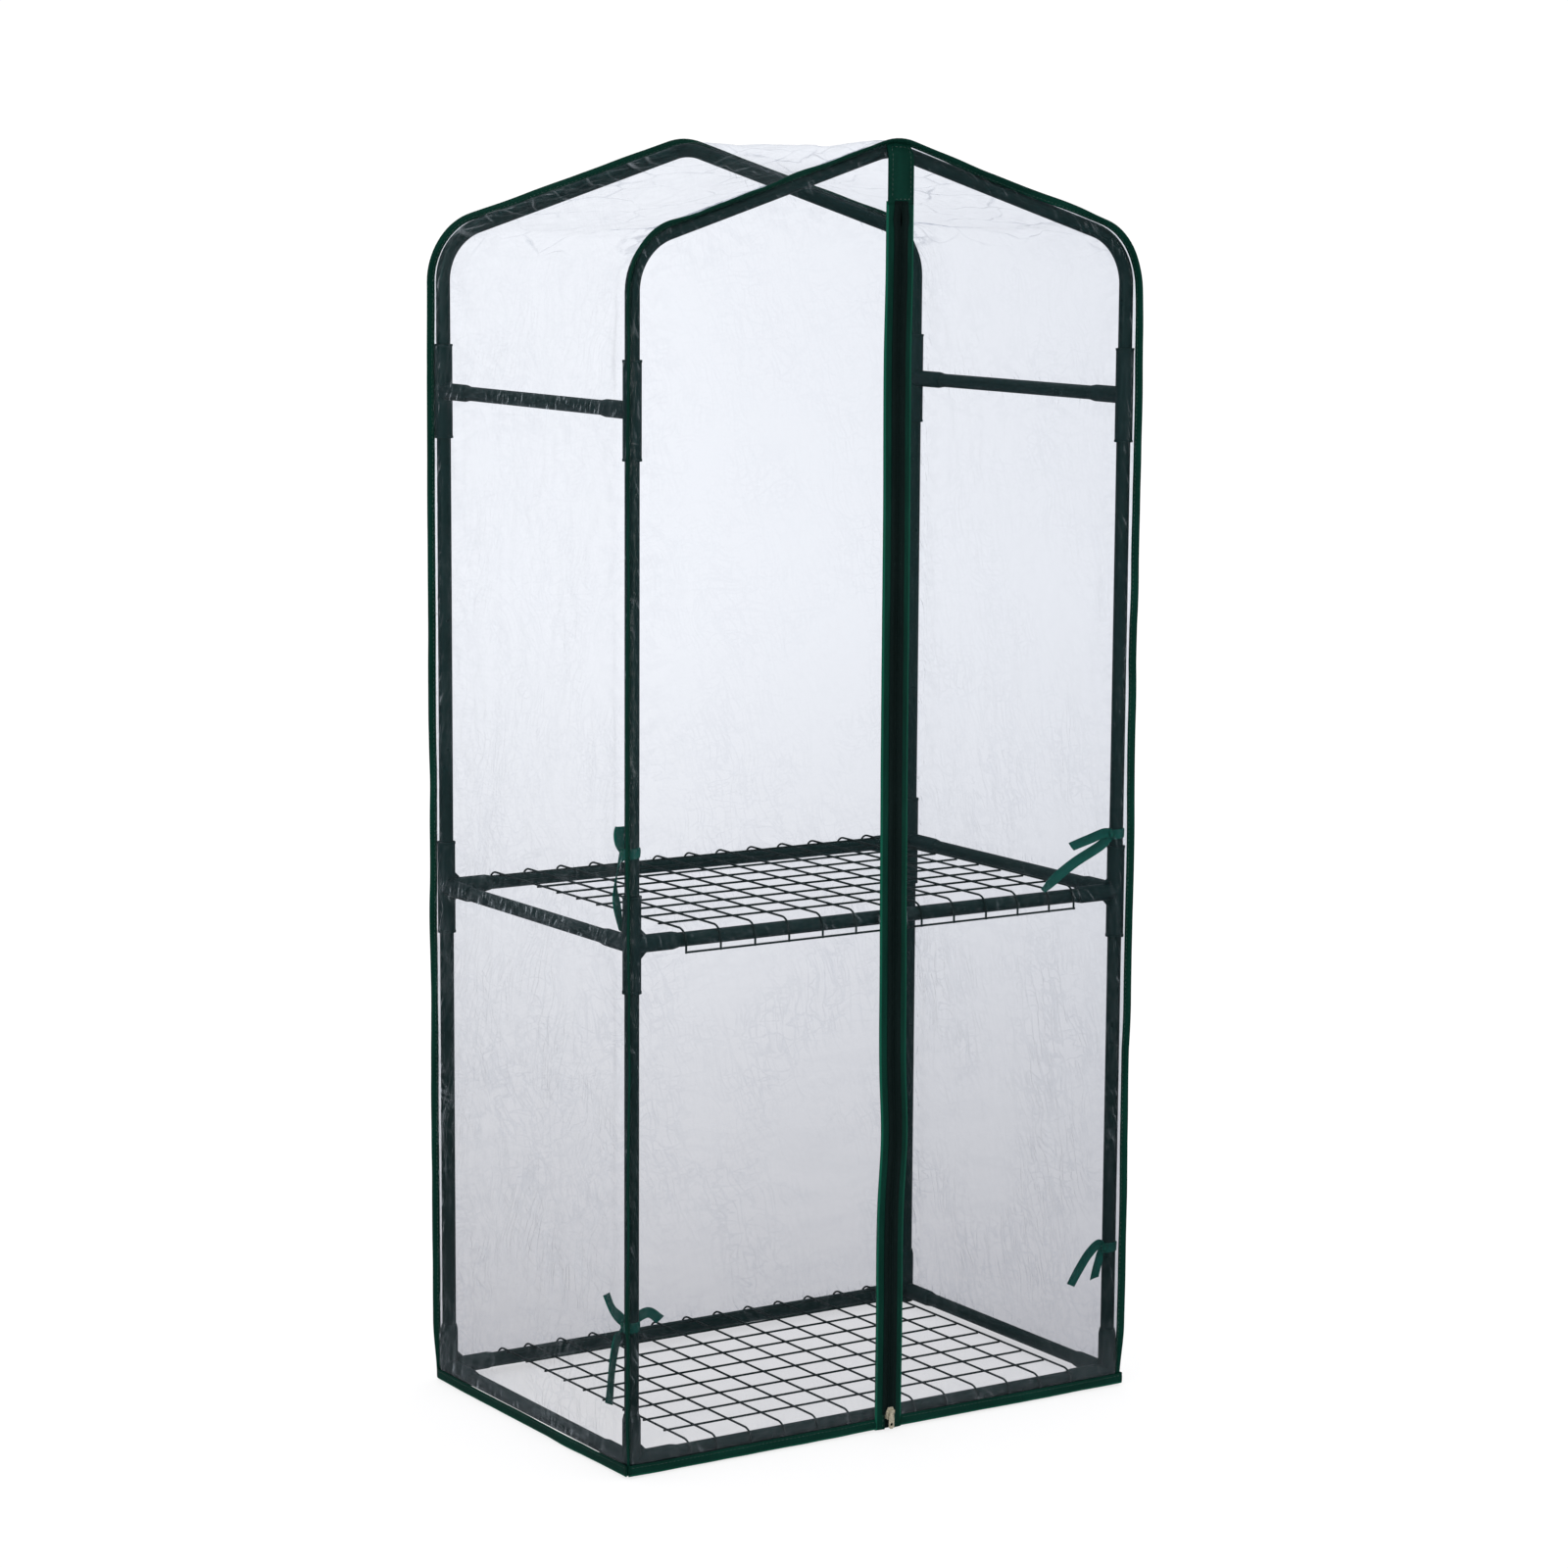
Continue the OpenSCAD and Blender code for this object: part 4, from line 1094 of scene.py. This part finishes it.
TUBE = coated_material("coated_tube", (0.0015, 0.010, 0.010), (0.003, 0.017, 0.017), 0.34, 900, 0)
PLASTIC = coated_material("moulded_plastic", (0.0025, 0.012, 0.013), (0.004, 0.019, 0.02), 0.45, 2400, 0.0009)
WIRE = coated_material("coated_wire", (0.003, 0.007, 0.007), (0.006, 0.012, 0.012), 0.36, 1500, 0)
BINDING = tape_material("woven_binding", (0.0006, 0.022, 0.014), (0.0014, 0.040, 0.026), 0.0009, 0.45, 0.04)
RIBBON = tape_material("woven_ribbon", (0.004, 0.075, 0.060), (0.008, 0.12, 0.092), 0.0008, 0.45, 0.2)
ZIP_TAPE = tape_material("zip_tape_weave", (0.003, 0.006, 0.006), (0.006, 0.011, 0.011), 0.0007, 0.5, 0.2)
THREAD = thread_material("green_thread", colour(0.006, 0.06, 0.042))
COIL = coated_material("nylon_coil", (0.002, 0.005, 0.005), (0.006, 0.012, 0.012), 0.5, 3000, 0)
METAL = metal_material("nickel_plate")
FILM = film_material("clear_vinyl")

CAD_LOOKS = {
    "connector": PLASTIC,
    "post": TUBE,
    "hoop": TUBE,
    "rail": TUBE,
    "shelf": WIRE,
    "zip_slider": METAL,
    "zip_pull": METAL,
}


def dress_frame():
    """Gives each CAD node that stays in view its finished material."""
    for name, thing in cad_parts.items():
        for word, material in CAD_LOOKS.items():
            if word in name:
                thing.data.materials.clear()
                thing.data.materials.append(material)


# ---------- pieces of the front flaps --------------


def hang_on_flap(piece):
    """Bakes the piece's place into its mesh."""
    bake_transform(piece)


def make_flaps():
    for sx, side in ((-1, "left"), (1, "right")):
        edge = ZIP_X + sx * (ZIP_HALF + 0.005)
        hinge = sx * (POST_X + FILM_OUT)
        low_x, high_x = sorted((edge, hinge))
        sheet = make_gable_sheet(side + "_flap_sheet", side + "_flap_film", -1, low_x, high_x, 300 + 20 * sx)
        for piece in (sheet, make_flap_hem(sx, side), make_zip_binding(sx, side), make_zip_tape(sx, side)):
            hang_on_flap(piece)


# ---------- studio ----------


def aim(thing, spot):
    thing.rotation_euler = (Vector(spot) - thing.location).to_track_quat("-Z", "Y").to_euler()


def soft_box(name, spot, size, watts, mirrored=True, target=(0, 0, 0.8)):
    lamp = bpy.data.lights.new(name, "AREA")
    lamp.shape = "RECTANGLE"
    lamp.size, lamp.size_y = size
    lamp.energy = watts
    box = bpy.data.objects.new(name, lamp)
    box.location = spot
    box.visible_glossy = mirrored
    bpy.context.scene.collection.objects.link(box)
    aim(box, target)


def make_floor():
    """A pale floor that fades into the white backdrop away from the greenhouse."""
    material, tree = blank_material("pale_floor")
    here = place(tree)
    grain = noise(tree, here, 3, 4)
    shade = mixed_colour(tree, grain, colour(0.84, 0.84, 0.85), colour(0.87, 0.87, 0.88))
    links = {"Base Color": shade, "Roughness": 0.85, "Specular IOR Level": 0.1}
    ground = node(tree, "BsdfPrincipled", links).outputs[0]
    glow = node(tree, "Emission", {"Color": colour(1, 1, 1), "Strength": 1.05}).outputs[0]
    distance = node(tree, "VectorMath", {0: here}, operation="LENGTH").outputs["Value"]
    fade = {"Value": distance, "From Min": 0.55, "From Max": 1.3, "To Min": 0.72}
    far = node(tree, "MapRange", fade, interpolation_type="SMOOTHSTEP")
    path = node(tree, "LightPath").outputs
    share = times(tree, far.outputs["Result"], path["Is Camera Ray"])
    lit = node(tree, "MixShader", {0: share, 1: ground, 2: glow}).outputs[0]
    dark = node(tree, "Emission", {"Color": colour(0.16, 0.17, 0.19), "Strength": 1.0}).outputs[0]
    finish_material(tree, node(tree, "MixShader", {0: path["Is Glossy Ray"], 1: lit, 2: dark}).outputs[0])
    half, below = 14, 0.0016
    shape = Shape()
    shape.add([(x * half, y * half, -below) for x, y in ((-1, -1), (1, -1), (1, 1), (-1, 1))], [(0, 1, 2, 3)])
    floor = shape.build("floor", [material])


def make_world():
    """A white room, but what mirrors it sees a dim one with a brighter ceiling."""
    world = bpy.data.worlds.new("studio")
    bpy.context.scene.world = world
    world.use_nodes = True
    tree = world.node_tree
    tree.nodes.clear()
    height = node(tree, "SeparateXYZ", {"Vector": place(tree, "Generated")}).outputs[2]
    upward = remap(tree, height, -0.2, 1.0, 0, 1)
    room = mixed_colour(tree, upward, colour(0.05, 0.055, 0.06), colour(0.30, 0.31, 0.33))
    mirrored = node(tree, "LightPath").outputs["Is Glossy Ray"]
    bright = node(tree, "Background", {"Color": colour(1, 1, 1), "Strength": 1.05}).outputs[0]
    dim = node(tree, "Background", {"Color": room, "Strength": 1.0}).outputs[0]
    both = node(tree, "MixShader", {0: mirrored, 1: bright, 2: dim}).outputs[0]
    node(tree, "OutputWorld", {"Surface": both})


def make_lights():
    soft_box("key_left", (-3.0, -1.6, 1.9), (0.4, 2.2), 9)
    soft_box("top", (0.2, 0.1, 3.8), (4.5, 4.5), 45, mirrored=False)
    soft_box("strip_right", (2.6, -1.4, 1.2), (0.12, 2.0), 1.8)
    soft_box("strip_front", (-0.6, -3.4, 0.9), (0.16, 1.8), 3)


def make_camera():
    azimuth, elevation, roll = math.radians(-32.82), math.radians(8.57), math.radians(0.35)
    target, distance = Vector((0, 0, 0.7062)), 4.760
    back = Vector((math.sin(azimuth) * math.cos(elevation), -math.cos(azimuth) * math.cos(elevation),
                   math.sin(elevation)))
    level = Vector((0, 0, 1)).cross(back).normalized()
    upright = back.cross(level)
    across = level * math.cos(roll) + upright * math.sin(roll)
    up = upright * math.cos(roll) - level * math.sin(roll)
    lens = bpy.data.cameras.new("camera")
    lens.lens = 95.11
    lens.sensor_width = 36
    lens.shift_x = 0.0016
    lens.shift_y = 0.0011
    lens.clip_start, lens.clip_end = 0.1, 60
    camera = bpy.data.objects.new("camera", lens)
    turned = Matrix((across, up, back)).transposed().to_4x4()
    camera.matrix_world = Matrix.Translation(target + back * distance) @ turned
    bpy.context.scene.collection.objects.link(camera)
    bpy.context.scene.camera = camera
    bpy.context.scene.view_settings.view_transform = "Standard"


dress_frame()
make_wrap()
make_back()
make_seam_binding(-1, "front_seam_tape", "front_seam_binding")
make_seam_binding(1, "back_seam_tape", "back_seam_binding")
make_wrap_hem()
make_flaps()
make_top_patch()
make_ties()
make_floor()
make_world()
make_lights()
make_camera()
